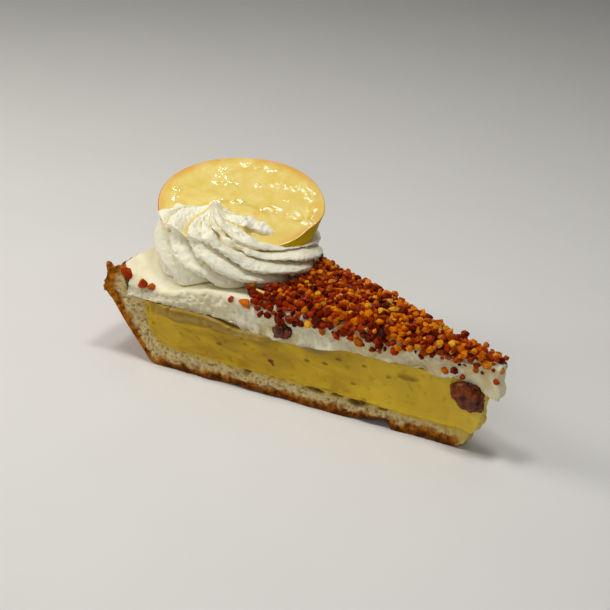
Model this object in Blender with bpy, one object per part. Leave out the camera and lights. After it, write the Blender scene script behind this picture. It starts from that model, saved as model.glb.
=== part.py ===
"""One wedge of a round custard tart, cut as a twelfth: a yeast-dough shell, baked custard, a layer of whipped
cream under a crust of nut brittle, a piped rosette, an apple slice standing in it, and two raisins at the cut.

Frame: metres, +Z up. The shell's underside lies on Z = 0, +X points to the tip of the wedge and the near cut
face looks towards -Y. The tart's own centre, from which every radius is measured, is the tip.
"""

import math
import random

import bmesh
import bpy
from mathutils import Matrix, Vector, noise

MM = 0.001

# The tart, as it left its tin
RIM_RADIUS = 141 * MM  # the tin is 28 cm across at its lip
WEDGE_ANGLE = math.radians(31.2)
HALF_ANGLE = WEDGE_ANGLE / 2
TIP_X = 67.6 * MM  # the tart's centre, which puts the origin under the middle of the wedge
GAP = 0.3 * MM  # left between two pieces that touch
KNIFE_WIDTH = 1.6 * MM  # half the width that the cut leaves at the very tip

# Section of the shell, as radius and height in mm: underside and outer wall, and inner wall from tip to rim
SHELL_OUTER = [(4, 0), (112, 0), (119, 0), (122.4, 1.4), (125.2, 5), (131.8, 13.5), (138, 22), (141, 26), (140.4, 30)]
SHELL_INNER = [
    (3, 7.6), (110, 9), (116, 9.6), (119.6, 11.6), (121.6, 14.6), (122.8, 19), (124, 24.9), (130.2, 25.6), (132.6, 30.6)
]
RIM_TOP = 31.3 * MM
RIM_AT_CUT = 34.3 * MM  # the rim stands higher at the near cut, where the cream was dragged off it
RIM_THINS = 4.6 * MM  # how much thinner it is away from that cut
BASE_STEPS = 17  # stations along the flat base

# Custard: its underside lies in the shell, from the tip to just under the shell's ledge
CUSTARD_FLOOR = [*SHELL_INNER[:6], (123.6, 23.6)]
CUSTARD_TOP = 25.2 * MM
CUSTARD_DIP = 2.4 * MM  # how far its top sinks between 62 mm and 102 mm from the tip

# Whipped cream under the brittle
CREAM_TOP = 34.6 * MM
CREAM_AT_RIM = 31.1 * MM
CREAM_AT_CUT = 28.7 * MM  # where the knife pressed it down at the near cut, beside the rosette
CREAM_LEDGE = [(123.5, 25.4), (127, 25.7), (129.6, 26), (131, 28.8)]  # its underside on the shell's ledge
SHOULDER = 4 * MM  # how far the cream's top edge is rounded over at the cut
LEAN = 4.2 * MM  # how far the custard's tip bulges out beyond the shell's
NOSE = 7.2 * MM  # how much further the cream leans out over it
LEAN_REACH = 7 * MM

# Piped rosette
ROSETTE_CENTRE = Vector((-40.1 * MM, 1.7 * MM, 0))
ROSETTE_PEAK = Vector((-4.8 * MM, -8.6 * MM, 0))  # how far the peak lies from the centre of the foot
ROSETTE_RADIUS = 31 * MM
ROSETTE_FOOT = 28.9 * MM
ROSETTE_HEIGHT = 20.5 * MM
ROSETTE_SQUARENESS = 3.6  # 2 would be a half ball, more gives steeper sides and a flatter top
PETALS = 13
FIRST_PETAL = math.radians(9.2)  # where the foot of one groove lies, round Z from +X
PETAL_DEPTH = 4.2 * MM
PRESSED_BY_APPLE = 8 * MM  # how much lower the rosette's top is on the side towards the tip

# Apple slice, across its flat face and through it
APPLE_WIDTH = 59.6 * MM
APPLE_DEPTH = 42 * MM
APPLE_THICKNESS = 7 * MM
APPLE_FACES = math.radians(37)  # the way its face looks, round Z from -Y towards +X
APPLE_LEAN = math.radians(57)  # how far its face looks up
APPLE_SKEW = 1.6 * MM  # how far its hidden face is shifted, which slants the skin on the side towards the tip
APPLE_CENTRE = Vector((-39.4 * MM, 1.5 * MM, 54.8 * MM))

# Brittle
BRITTLE_THICKNESS = 1.7 * MM
BRITTLE_CLEARANCE = 1.2 * MM  # between the brittle and the rosette's sides
BRITTLE_AT_CUT = 80 * MM  # how far from the tip it ends at the near cut
GRAIN_SIZES = [2.1 * MM, 1.75 * MM, 1.45 * MM]  # half a grain's length, largest first
GRAINS_OF_SIZE = [28, 42, 40]


def clear_scene():
    for obj in list(bpy.data.objects):
        bpy.data.objects.remove(obj)


def smooth(value, low, high):
    """0 below low, 1 above high, and an even S between."""
    t = min(1.0, max(0.0, (value - low) / (high - low)))
    return t * t * (3 - 2 * t)


def hump(value, low, high, edge):
    """1 between low and high, falling to 0 within edge outside them."""
    return smooth(value, low - edge, low) * (1 - smooth(value, high, high + edge))


def uneven(place, wavelength, seed=0.0):
    """Smooth noise from about -1 to 1, whose bumps are a wavelength apart."""
    return 1.6 * noise.noise(Vector(place) / wavelength + Vector((seed, 7.3 * seed, -3.1 * seed)))


def ladder(outline, fraction):
    """The point at a fraction along an outline whose points are evenly spread rungs, in metres."""
    place = fraction * (len(outline) - 1)
    index = min(int(place), len(outline) - 2)
    low, high = Vector(outline[index]), Vector(outline[index + 1])
    return low.lerp(high, place - index) * MM


def half_width(radius):
    """From the middle of the wedge to its cut, at a radius."""
    return radius * math.sin(HALF_ANGLE) + KNIFE_WIDTH * math.exp(-radius / (9 * MM))


def in_wedge(radius, side, height):
    """A point from its radius, its distance from the middle of the wedge and its height."""
    share = max(-1.2, min(1.2, side / half_width(radius)))
    return Vector((TIP_X - radius * math.cos(HALF_ANGLE * share), side, height))


def paint(obj, colour, roughness):
    """Gives an object its own Principled material, from a linear colour."""
    material = bpy.data.materials.new(obj.name)
    material.use_nodes = True
    shader = material.node_tree.nodes["Principled BSDF"]
    shader.inputs["Base Color"].default_value = (*colour, 1)
    shader.inputs["Roughness"].default_value = roughness
    shader.inputs["Metallic"].default_value = 0
    obj.data.materials.clear()
    obj.data.materials.append(material)


def round_off(obj):
    """Smooth shading, but for the edges sharper than 50 degrees."""
    obj.data.shade_smooth()
    obj.data.set_sharp_from_angle(angle=math.radians(50))


def new_object(name, mesh, collection):
    obj = bpy.data.objects.new(name, mesh)
    collection.objects.link(obj)
    return obj


def from_bmesh(name, bm, collection):
    mesh = bpy.data.meshes.new(name)
    bm.to_mesh(mesh)
    bm.free()
    return new_object(name, mesh, collection)


def block(name, stations, place, collection):
    """A cube cut across by planes at the stations of each axis, each of its points then moved to its place."""
    bm = bmesh.new()
    bmesh.ops.create_cube(bm, size=1, matrix=Matrix.Translation((0.5, 0.5, 0.5)))
    for axis in range(3):
        normal = Vector((0, 0, 0))
        normal[axis] = 1
        for station in stations[axis][1:-1]:
            bmesh.ops.bisect_plane(
                bm, geom=[*bm.verts, *bm.edges, *bm.faces], plane_co=normal * station, plane_no=normal
            )
    for vert in bm.verts:
        vert.co = place(*vert.co)
    bmesh.ops.recalc_face_normals(bm, faces=bm.faces)
    return from_bmesh(name, bm, collection)


def evenly(steps):
    return [i / steps for i in range(steps + 1)]


def rungs(outline, first_steps):
    """Stations at every rung of an outline, with its long first stretch divided further."""
    count = len(outline) - 1
    return [i / first_steps / count for i in range(first_steps)] + [(i + 1) / count for i in range(count)]


def side_stations():
    """Stations across the wedge: even between, and close together where a cut face rounds over."""
    inner = [0.13, 0.22, 0.31, 0.4]
    return [0, 0.035, 0.075, *inner, 0.5, *[1 - s for s in reversed(inner)], 0.925, 0.965, 1]


def custard_floor(fraction):
    """Radius and height of the custard's underside, a gap off the shell."""
    low = ladder(CUSTARD_FLOOR, fraction)
    low.x -= GAP * smooth(fraction, 0.3, 0.6)
    low.y += GAP
    return low


def custard_top(radius, side):
    """The custard's top, wavy, and sunk a little under the middle of the cream."""
    wave = uneven((radius, side, 0), 24 * MM, 1.7) * 0.5 * MM
    dip = hump(radius, 76 * MM, 88 * MM, 14 * MM) * CUSTARD_DIP
    return CUSTARD_TOP + wave - dip - smooth(radius, 108 * MM, 117 * MM) * 0.6 * MM


def cream_top(radius, share):
    """The cream's top, share going from -1 to 1 across the wedge: level, then falling to the rim of the shell."""
    wave = 0.5 * MM * math.sin(radius / (17 * MM)) * smooth(radius, 0, 20 * MM)
    fall = (CREAM_TOP - CREAM_AT_RIM) * smooth(radius, 100 * MM, 127 * MM)
    pressed = (CREAM_TOP - CREAM_AT_CUT) * smooth(radius, 98 * MM, 121 * MM)
    pressed -= 1.7 * MM * smooth(radius, 121 * MM, 131 * MM)
    at_cut = 1 - smooth(share, -1, -0.5)
    return CREAM_TOP + wave - fall * (1 - at_cut) - pressed * at_cut


def draped(radius, share, lift):
    """Side and height of a point on the cream's top, share going from -1 to 1 across it and over both shoulders.

    lift carries the point straight out from the surface, as the brittle lies on it.
    """
    half = half_width(radius)
    bend = min(SHOULDER, 0.8 * half) * (1 - 0.6 * smooth(radius, 84 * MM, 96 * MM))
    top = cream_top(radius, share)
    flat = half - bend
    over = flat / (flat + bend * math.pi / 2)
    if abs(share) <= over:
        return share / over * flat, top + lift
    turn = (abs(share) - over) / (1 - over) * math.radians(84)
    side = flat + (bend + lift) * math.sin(turn)
    return math.copysign(side, share), top - bend + (bend + lift) * math.cos(turn)


def nose(radius, height):
    """How far the filling leans out over the tip at a height."""
    lean = LEAN * smooth(height, 5 * MM, 12 * MM) + NOSE * smooth(height, 25.5 * MM, 30 * MM)
    return lean * math.exp(-radius / LEAN_REACH)


def cut_relief(radius, height, side, depth, wavelength, seed):
    """How far a cut face stands proud of the knife's plane."""
    return depth * uneven((radius, 0.4 * math.copysign(1, side), height), wavelength, seed)


def make_shell(collection):
    """The dough shell: its base, its flared wall and its rough rim, as one piece."""

    def place(u, v, w):
        outer, inner = ladder(SHELL_OUTER, u), ladder(SHELL_INNER, u)
        radius, height = outer.lerp(inner, w)
        share = 2 * v - 1
        angle = share * HALF_ANGLE
        ragged = uneven((angle, 0.1, w), 0.11, 2.0)
        along_rim = smooth(share, -1, -0.72)
        radius += RIM_THINS * along_rim * smooth(u, 0.75, 0.875) * w
        if u > 0.999:
            crest = RIM_AT_CUT + (RIM_TOP - RIM_AT_CUT) * along_rim
            height += (crest - height) * math.sin(math.pi * w) ** 0.6 * (0.93 + 0.12 * ragged)
        wall = smooth(u, 0.45, 0.8) * (1 - smooth(w, 0.1, 0.6))
        radius += wall * 0.7 * MM * uneven((angle * RIM_RADIUS, height, 0), 13 * MM, 4.0)
        side = share * half_width(radius)
        if v < 0.01 or v > 0.99:
            near = 1 if v < 0.01 else 0.6
            relief = cut_relief(radius, height, side, 0.55 * MM, 9 * MM, 5.0)
            side += math.copysign(relief, side) * smooth(radius, 6 * MM, 20 * MM) * near
        if w < 0.01:
            edge = smooth(abs(share), 0.35, 0.8) if share < 0 else 0
            height += 3.4 * MM * hump(radius, 34 * MM, 46 * MM, 3.5 * MM) * edge
            height += 1.1 * MM * hump(radius, 74 * MM, 92 * MM, 8 * MM) * smooth(abs(share), 0.8, 1)
        return in_wedge(radius, side, height)

    across = [0, 0.035, 0.075, 0.13, 0.22, 0.4, 0.6, 0.78, 0.925, 1]
    return block("shell", [rungs(SHELL_OUTER, BASE_STEPS), across, [0, 0.35, 0.7, 1]], place, collection)


def make_custard(collection):
    """The baked custard, from the tip to the shell's wall, its upper edge set back at the near cut."""

    def place(u, v, w):
        low = custard_floor(u)
        share = 2 * v - 1
        ceiling = custard_top(low.x, share * half_width(low.x))
        height = low.y + (max(ceiling, low.y + 0.4 * MM) - low.y) * w
        radius = low.x
        side = share * half_width(radius)
        if v < 0.01 or v > 0.99:
            proud = cut_relief(radius, height, side, 0.5 * MM, 16 * MM, 8.0)
            ledge = 2.2 * MM * hump(radius, 78 * MM, 112 * MM, 10 * MM) * smooth(height, 19.5 * MM, 22 * MM)
            side += math.copysign(proud, side) * smooth(radius, 6 * MM, 20 * MM)
            side -= math.copysign(ledge, side) * (1 if v < 0.01 else 0.5)
        point = in_wedge(radius, side, height)
        point.x += nose(radius, height)
        return point

    stations = [rungs(CUSTARD_FLOOR, BASE_STEPS), side_stations(), [0, 0.4, 0.76, 1]]
    return block("custard", stations, place, collection)


def make_cream(collection):
    """The layer of whipped cream, its top edges rounded over where the brittle spills down the cuts."""
    over_custard = 0.9  # the part of u that lies over the custard

    def floor(u, share):
        if u <= over_custard:
            radius = custard_floor(u / over_custard).x
            return radius, custard_top(radius, share * half_width(radius)) + GAP
        point = ladder(CREAM_LEDGE, max(0, (u - 0.925) / 0.075))
        outward = RIM_THINS * smooth(share, -1, -0.72) * min(1, max(0, (u - 0.925) / 0.05))
        return point.x + outward, point.y

    def place(u, v, w):
        share = 2 * v - 1
        radius, low = floor(u, share)
        side, high = draped(radius, share, 0)
        high = max(high, low + 0.8 * MM)
        height = low + (high - low) * w
        if abs(share) > 0.99:
            straight = share * half_width(radius)
            proud = cut_relief(radius, height, straight, 0.6 * MM, 8 * MM, 11.0) + 0.5 * MM * (1 - w)
            side += (straight - side) * (1 - w * w) + math.copysign(proud, share) * smooth(radius, 6 * MM, 20 * MM)
        elif w < 0.99:
            side = share * half_width(radius)
        point = in_wedge(radius, side, height)
        point.x += nose(radius, height)
        return point

    along = [over_custard * station for station in rungs(CUSTARD_FLOOR, BASE_STEPS)] + [0.925, 0.95, 0.975, 1]
    return block("cream_layer", [along, side_stations(), [0, 0.35, 0.7, 1]], place, collection)


FOOT_CUTS_ALONG = (-0.75, -0.5, -0.25, 0, 0.25, 0.5, 0.75)
FOOT_CUTS_ACROSS = (-0.85, -0.7, -0.55, -0.4, -0.2, 0, 0.5)


def rosette_foot(point):
    """The height of the rosette's underside, which lies on the cream or just beyond its edge."""
    radius = math.hypot(TIP_X - point.x, point.y)
    share = max(-1, math.atan2(point.y, TIP_X - point.x) / HALF_ANGLE)
    return cream_top(min(radius, 131 * MM), share) + 2.2 * GAP


def petal_wave(phase):
    """0 in a groove and 1 on a crest, which follows close behind the groove."""
    t = (phase / math.tau) % 1
    rise = 0.3
    return math.sin(t / rise * math.pi / 2) if t < rise else math.cos((t - rise) / (1 - rise) * math.pi / 2) ** 0.8


def swirl(out, up):
    """How far a petal has turned by the time it is at a share of the rosette's radius and of its height."""
    splayed = math.radians(25) * (1 - math.exp(-up / 0.08))
    return splayed + math.radians(35) * up + math.radians(85) * (1 - out)


def on_rosette(turn, climb):
    """A point of the rosette, turn going round its foot and climb from 0 at the foot to 1 at the peak."""
    power = 2 / ROSETTE_SQUARENESS
    out, up = math.cos(climb * math.pi / 2) ** power, math.sin(climb * math.pi / 2) ** power
    out = max(0.0, out)
    crest = petal_wave(PETALS * (turn - FIRST_PETAL))
    angle = turn - swirl(out, up)
    flat = smooth(climb, 0.35, 0.75)  # how level the surface is here
    groove = PETAL_DEPTH * (1 - crest)
    radius = (ROSETTE_FOOT + (ROSETTE_RADIUS - ROSETTE_FOOT) * smooth(up, 0, 0.35)) * out
    radius -= groove * (1 - flat) * smooth(out, 0, 0.5)
    spot = ROSETTE_CENTRE + ROSETTE_PEAK * flat + Vector((math.cos(angle), math.sin(angle), 0)) * radius
    foot = rosette_foot(spot)
    top = CREAM_TOP + ROSETTE_HEIGHT - PRESSED_BY_APPLE * smooth(spot.x - ROSETTE_CENTRE.x, -4 * MM, 26 * MM)
    spot.z = foot + (top - foot) * up - 0.8 * groove * flat * smooth(out, 0.02, 0.3)
    return spot


def make_rosette(collection):
    """The piped swirl of cream: steep sides and a low top, whose petals turn as they rise to the peak."""
    around, rings = PETALS * 6, 13
    bm = bmesh.new()
    bmesh.ops.create_uvsphere(bm, u_segments=around, v_segments=2 * rings, radius=1)
    bmesh.ops.delete(bm, geom=[v for v in bm.verts if v.co.z < -0.001], context="VERTS")
    bmesh.ops.edgeloop_fill(bm, edges=[e for e in bm.edges if e.is_boundary])
    for normal, places in (((1, 0, 0), FOOT_CUTS_ALONG), ((0, 1, 0), FOOT_CUTS_ACROSS)):
        for place in places:
            foot = [f for f in bm.faces if all(abs(v.co.z) < 0.001 for v in f.verts)]
            parts = [*foot, *{e for f in foot for e in f.edges}, *{v for f in foot for v in f.verts}]
            bmesh.ops.bisect_plane(bm, geom=parts, plane_co=Vector(normal) * place, plane_no=normal)
    for vert in bm.verts:
        reach = math.hypot(vert.co.x, vert.co.y)
        if vert.co.z < 0.001 and reach < 0.98:
            vert.co = ROSETTE_CENTRE + vert.co * (ROSETTE_FOOT - 0.85 * PETAL_DEPTH)
            vert.co.z = rosette_foot(vert.co)
        else:
            climb = (math.asin(max(0.0, min(1.0, vert.co.z))) / (math.pi / 2)) ** 1.4
            vert.co = on_rosette(math.atan2(vert.co.y, vert.co.x), climb)
    bmesh.ops.recalc_face_normals(bm, faces=bm.faces)
    return from_bmesh("rosette", bm, collection)


def apple_matrix():
    """Where the apple slice lies: X along its width, Y down its face and Z out of its face."""
    out = Vector((
        math.sin(APPLE_FACES) * math.cos(APPLE_LEAN),
        -math.cos(APPLE_FACES) * math.cos(APPLE_LEAN),
        math.sin(APPLE_LEAN),
    ))
    along = Vector((math.cos(APPLE_FACES), math.sin(APPLE_FACES), 0))
    up = out.cross(along)
    turn = Matrix((along, up, out)).transposed().to_4x4()
    return Matrix.Translation(APPLE_CENTRE) @ turn


def make_apple(name, grown, collection):
    """A slice of apple with its skin round the edge; grown swells it, for the pocket that it stands in."""
    steps, rings = 40, 4
    bm = bmesh.new()
    bmesh.ops.create_cone(
        bm, cap_ends=True, segments=steps, radius1=1, radius2=1, depth=1, matrix=Matrix.Translation((0, 0, -0.5))
    )
    for i in range(1, rings):
        bmesh.ops.bisect_plane(
            bm, geom=[*bm.verts, *bm.edges, *bm.faces], plane_co=(0, 0, -i / rings), plane_no=(0, 0, 1)
        )
    for vert in bm.verts:
        deep = -vert.co.z
        angle = math.atan2(vert.co.y, vert.co.x)
        bulge = 1 + 0.03 * math.sin(deep * math.pi * 0.7)
        wide = APPLE_WIDTH / 2 * bulge
        tall = APPLE_DEPTH / 2 * bulge * (1 + 0.05 * math.cos(angle))
        x = math.copysign(abs(math.cos(angle)) ** 0.94, math.cos(angle)) * (wide + grown)
        y = math.copysign(abs(math.sin(angle)) ** 0.94, math.sin(angle)) * (tall + grown)
        vert.co = (x + deep * APPLE_SKEW, y, grown - deep * (APPLE_THICKNESS + 2 * grown))
    slice_object = from_bmesh(name, bm, collection)
    slice_object.data.transform(apple_matrix())
    return slice_object


def make_raisin(name, centre, sizes, turn, grown, collection):
    """A wrinkled raisin; grown swells it, for the hollow that it sits in."""
    bm = bmesh.new()
    bmesh.ops.create_icosphere(bm, subdivisions=3 if grown == 0 else 2, radius=1)
    for vert in bm.verts:
        wrinkle = 1 + (0.13 * uneven(vert.co, 0.55, centre.x * 90) if grown == 0 else 0.16)
        vert.co = Vector([vert.co[i] * (sizes[i] * wrinkle + grown) for i in range(3)])
    raisin = from_bmesh(name, bm, collection)
    raisin.data.transform(Matrix.Translation(centre) @ turn.to_4x4())
    return raisin


def grain(name, spot, size, draw, collection):
    """One broken piece of brittle: a ball of 20 faces, squashed and turned at random."""
    bm = bmesh.new()
    bmesh.ops.create_icosphere(bm, subdivisions=1, radius=size)
    stretch = Matrix.Diagonal((draw.uniform(0.75, 1.1), draw.uniform(0.7, 1), draw.uniform(0.6, 0.85)))
    turn = Matrix.Rotation(draw.uniform(0, math.tau), 3, "Z") @ Matrix.Rotation(draw.uniform(0, math.tau), 3, "X")
    for vert in bm.verts:
        vert.co = turn @ stretch @ vert.co * draw.uniform(0.85, 1.1) + spot
    return from_bmesh(name, bm, collection)


def join(core, loose):
    """One Boolean union of the core and everything in a collection, which is then removed."""
    union = core.modifiers.new("union", "BOOLEAN")
    union.operation = "UNION"
    union.operand_type = "COLLECTION"
    union.collection = loose
    union.solver = "MANIFOLD"
    apply_modifiers(core)
    keep_outside(core)
    for obj in list(loose.objects):
        bpy.data.objects.remove(obj)
    bpy.data.collections.remove(loose)


def keep_outside(obj):
    """Fills the hollows that the union sealed and drops loose scraps: only the shell with the most points stays."""
    bm = bmesh.new()
    bm.from_mesh(obj.data)
    left, shells = dict.fromkeys(bm.verts), []
    while left:
        grow = [left.popitem()[0]]
        shell = []
        while grow:
            vert = grow.pop()
            shell.append(vert)
            for edge in vert.link_edges:
                other = edge.other_vert(vert)
                if other in left:
                    del left[other]
                    grow.append(other)
        shells.append(shell)
    shells.sort(key=len, reverse=True)
    bmesh.ops.delete(bm, geom=[vert for shell in shells[1:] for vert in shell], context="VERTS")
    bm.to_mesh(obj.data)
    bm.free()


def cut(obj, cutter):
    """Takes a cutter out of an object, and removes the cutter."""
    difference = obj.modifiers.new("cut", "BOOLEAN")
    difference.operation = "DIFFERENCE"
    difference.object = cutter
    difference.solver = "MANIFOLD"
    apply_modifiers(obj)
    bpy.data.objects.remove(cutter)


def apply_modifiers(obj):
    bpy.context.view_layer.update()
    evaluated = obj.evaluated_get(bpy.context.evaluated_depsgraph_get())
    made = bpy.data.meshes.new_from_object(evaluated)
    obj.modifiers.clear()
    obj.data = made


def brittle_end(share):
    """The radius at which the brittle ends: at the rosette's foot, and short of it at the near cut."""
    reach = ROSETTE_RADIUS + BRITTLE_CLEARANCE
    along = TIP_X - ROSETTE_CENTRE.x
    ahead = along * math.cos(share * HALF_ANGLE) + ROSETTE_CENTRE.y * math.sin(share * HALF_ANGLE)
    beside = along**2 + ROSETTE_CENTRE.y**2 - ahead**2
    return min(ahead - math.sqrt(max(0, reach**2 - beside)), BRITTLE_AT_CUT + 28 * MM * (share + 1))


def brittle_place(along, share, lift):
    """A point lifted off the cream, along going from the tip to the foot of the rosette."""
    radius = 2.5 * MM + (brittle_end(max(-1, min(1, share))) - 2.5 * MM) * along
    side, height = draped(radius, share, lift)
    point = in_wedge(radius, side, height)
    point.x += nose(radius, height)
    return point


def make_brittle(collection):
    """The crust of nut brittle: a thin uneven sheet over the cream and its shoulders, with its largest grains."""

    def place(u, v, w):
        share = 2 * v - 1
        thick = BRITTLE_THICKNESS * (1 + 0.35 * uneven((90 * MM * u, 30 * MM * share, 0), 6 * MM, 3.0))
        thick *= 0.45 + 0.55 * min(smooth(u, 0, 0.05), 1 - smooth(u, 0.93, 1))
        ragged = 1 - 0.1 * (0.5 + 0.5 * uneven((90 * MM * u, share, 0), 7 * MM, 6.0))
        return brittle_place(u, share * ragged, 1.5 * GAP + thick * w)

    across = [0, 0.04, 0.1, 0.19, 0.33, 0.5, 0.67, 0.81, 0.9, 0.96, 1]
    sheet = block("brittle", [evenly(18), across, [0, 1]], place, collection)
    draw = random.Random(12)
    loose = bpy.data.collections.new("grains")
    bpy.context.scene.collection.children.link(loose)
    placed = []
    for size, wanted in zip(GRAIN_SIZES, GRAINS_OF_SIZE):
        left = wanted
        for _ in range(4000):
            if left == 0:
                break
            share = draw.uniform(-1, 1)
            along = 1 - math.sqrt(draw.random())
            spot = brittle_place(0.015 + 0.95 * (1 - along), share, GAP + 0.75 * size + 0.7 * MM)
            room = (spot.xy - ROSETTE_CENTRE.xy).length
            if room < ROSETTE_RADIUS + 0.4 * MM + 1.1 * size:
                continue
            if any((spot - other).length < 0.98 * (size + far) for other, far in placed):
                continue
            placed.append((spot, size))
            grain(f"grain_{len(placed)}", spot, size, draw, loose)
            left -= 1
    join(sheet, loose)
    return sheet


def scatter_on_cream(cream):
    """Fuses the stray crumbs to the cream: those fallen by the rim, and those pressed into the cut by the tip."""
    draw = random.Random(5)
    loose = bpy.data.collections.new("crumbs")
    bpy.context.scene.collection.children.link(loose)
    by_rim = [(129.6, 0.6, 1.9), (124.6, 1.4, 1.8), (121.4, 0.6, 1.7)]
    for number, (radius, inset, size) in enumerate(by_rim):
        radius *= MM
        side, height = -half_width(radius) + inset * MM + 0.8 * MM, cream_top(radius, -0.96)
        grain(f"rim_crumb_{number}", in_wedge(radius, side, height - 0.2 * MM), size * MM, draw, loose)
    on_cut = [(90.5, 29.8, 1.2), (87, 30.2, 1.3), (27.5, 29.2, 1.3), (23, 28.2, 1.1), (17, 28.6, 1.4)]
    on_cut += [(12.5, 28.6, 1.3), (9.5, 27.4, 1.1), (33, 28.0, 1.4)]
    for number, (radius, height, size) in enumerate(on_cut):
        spot = in_wedge(radius * MM, -half_width(radius * MM) - 0.2 * MM, height * MM)
        grain(f"cut_crumb_{number}", spot, size * MM, draw, loose)
    join(cream, loose)


RAISIN_AT_TIP = dict(
    centre=Vector((TIP_X - 3.9 * MM, -3.0 * MM, 19.9 * MM)),
    sizes=(6.3 * MM, 3.2 * MM, 5.0 * MM),
    turn=Matrix.Rotation(math.radians(24), 3, "Y") @ Matrix.Rotation(math.radians(8), 3, "Z"),
)
RAISIN_IN_CUT = dict(
    centre=in_wedge(72 * MM, -half_width(72 * MM) + 1.9 * MM, 26.2 * MM),
    sizes=(4.4 * MM, 3.2 * MM, 3.6 * MM),
    turn=Matrix.Rotation(math.radians(-15), 3, "Y"),
)


def build():
    clear_scene()
    tart = bpy.data.collections.new("coffee_tart")
    bpy.context.scene.collection.children.link(tart)

    shell = make_shell(tart)
    custard = make_custard(tart)
    cream = make_cream(tart)
    rosette = make_rosette(tart)
    brittle = make_brittle(tart)
    apple = make_apple("apple_slice", 0, tart)
    scatter_on_cream(cream)

    cut(rosette, make_apple("apple_pocket", GAP, tart))
    raisins = []
    for name, where in (("raisin_tip", RAISIN_AT_TIP), ("raisin_cut", RAISIN_IN_CUT)):
        raisins.append(make_raisin(name, grown=0, collection=tart, **where))
        for layer in (custard, cream):
            cut(layer, make_raisin(name + "_pocket", grown=GAP, collection=tart, **where))

    for piece in (rosette, apple, *raisins):
        round_off(piece)
    paint(shell, (0.47, 0.27, 0.11), 0.8)
    paint(custard, (0.62, 0.44, 0.06), 0.45)
    paint(cream, (0.84, 0.80, 0.62), 0.6)
    paint(rosette, (0.88, 0.85, 0.68), 0.55)
    paint(brittle, (0.36, 0.08, 0.01), 0.3)
    paint(apple, (0.80, 0.58, 0.16), 0.2)
    for raisin in raisins:
        paint(raisin, (0.15, 0.04, 0.02), 0.3)


build()
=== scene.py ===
"""A slice of custard tart: dough shell, custard, whipped cream, brittle, a piped rosette and an apple slice.

Millimetres, +Z up, turned into metres where a piece is made. The slice stands on Z = 0 with its tip towards
+X and its near cut face towards -Y. Every radius is measured from the tip. The large forms are those of the
part's solids; what is added here is mostly their fine relief. The last number of a noise or of a wave is its
seed, except in pits, where it comes before the two limits.
"""

import math
import random

import bmesh
import bpy
import numpy as np
from mathutils import Matrix, Vector, noise


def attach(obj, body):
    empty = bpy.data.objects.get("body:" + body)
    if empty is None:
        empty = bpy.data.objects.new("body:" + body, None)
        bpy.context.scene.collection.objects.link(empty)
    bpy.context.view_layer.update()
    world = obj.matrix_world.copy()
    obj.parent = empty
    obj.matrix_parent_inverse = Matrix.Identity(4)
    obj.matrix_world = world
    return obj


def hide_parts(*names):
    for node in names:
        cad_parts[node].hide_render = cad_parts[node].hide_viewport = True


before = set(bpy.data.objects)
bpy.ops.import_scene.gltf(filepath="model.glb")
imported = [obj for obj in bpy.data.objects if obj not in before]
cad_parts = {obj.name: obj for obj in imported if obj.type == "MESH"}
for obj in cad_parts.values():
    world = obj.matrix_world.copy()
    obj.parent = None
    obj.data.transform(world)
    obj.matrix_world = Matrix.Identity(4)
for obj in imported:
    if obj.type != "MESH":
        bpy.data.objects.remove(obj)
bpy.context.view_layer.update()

MM = 0.001  # in metres

# The tart
RIM_RADIUS = 141  # the tin is 28 cm across at its lip
HALF_ANGLE = math.radians(31.2) / 2
TIP_X = 67.6  # the tart's centre, which puts the origin under the middle of the wedge
GAP = 0.3  # left between two pieces that touch
KNIFE_WIDTH = 1.6  # half the width that the cut leaves at the very tip

# Section of the shell, as radius and height: underside and outer wall, and inner wall from tip to rim
SHELL_OUTER = [
    (4, 0), (112, 0), (119, 0), (122.4, 1.4), (125.2, 5), (131.8, 13.5), (138, 22), (141, 26), (140.4, 30),
]
SHELL_INNER = [
    (3, 7.6), (110, 9), (116, 9.6), (119.6, 11.6), (121.6, 14.6), (122.8, 19), (124, 24.9), (130.2, 25.6),
    (132.6, 30.6),
]
RIM_TOP = 31.3
RIM_AT_CUT = 34.3  # the rim stands higher at the near cut, where the cream was dragged off it
RIM_THINS = 4.6  # how much thinner it is away from that cut
BASE_SHARE = 0.7  # how much of a section's length is its level base

# Custard and cream
CUSTARD_FLOOR = [*SHELL_INNER[:6], (123.6, 23.6)]
CUSTARD_TOP = 25.2
CUSTARD_DIP = 2.4
CREAM_TOP = 34.6
CREAM_AT_RIM = 31.1
CREAM_AT_CUT = 28.7  # where the knife pressed it down at the near cut, beside the rosette
CREAM_LEDGE = [(123.5, 25.4), (127, 25.7), (129.6, 26), (131, 28.8)]  # its underside on the shell's ledge
CREAM_EDGE = [  # how low the cream hangs along the near cut: radius and height
    (0, 25.5), (7, 25.5), (10.7, 26.6), (14, 24.9), (17, 24.7), (20.2, 25.3), (21.6, 27), (23.5, 25.9),
    (28, 25.8), (36, 25.3), (44, 25.6), (49, 25.2), (54, 24), (65, 22.9), (79, 22.2), (86.5, 22.4), (89, 25),
    (103, 24.9), (116, 24.5), (124, 25.3),
]
SHOULDER = 4  # how far the cream's top edge is rounded over at the cut
LEAN = 4.2  # how far the custard's tip bulges out beyond the shell's
NOSE = 7.2  # how much further the cream leans out over it
LEAN_REACH = 7

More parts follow.
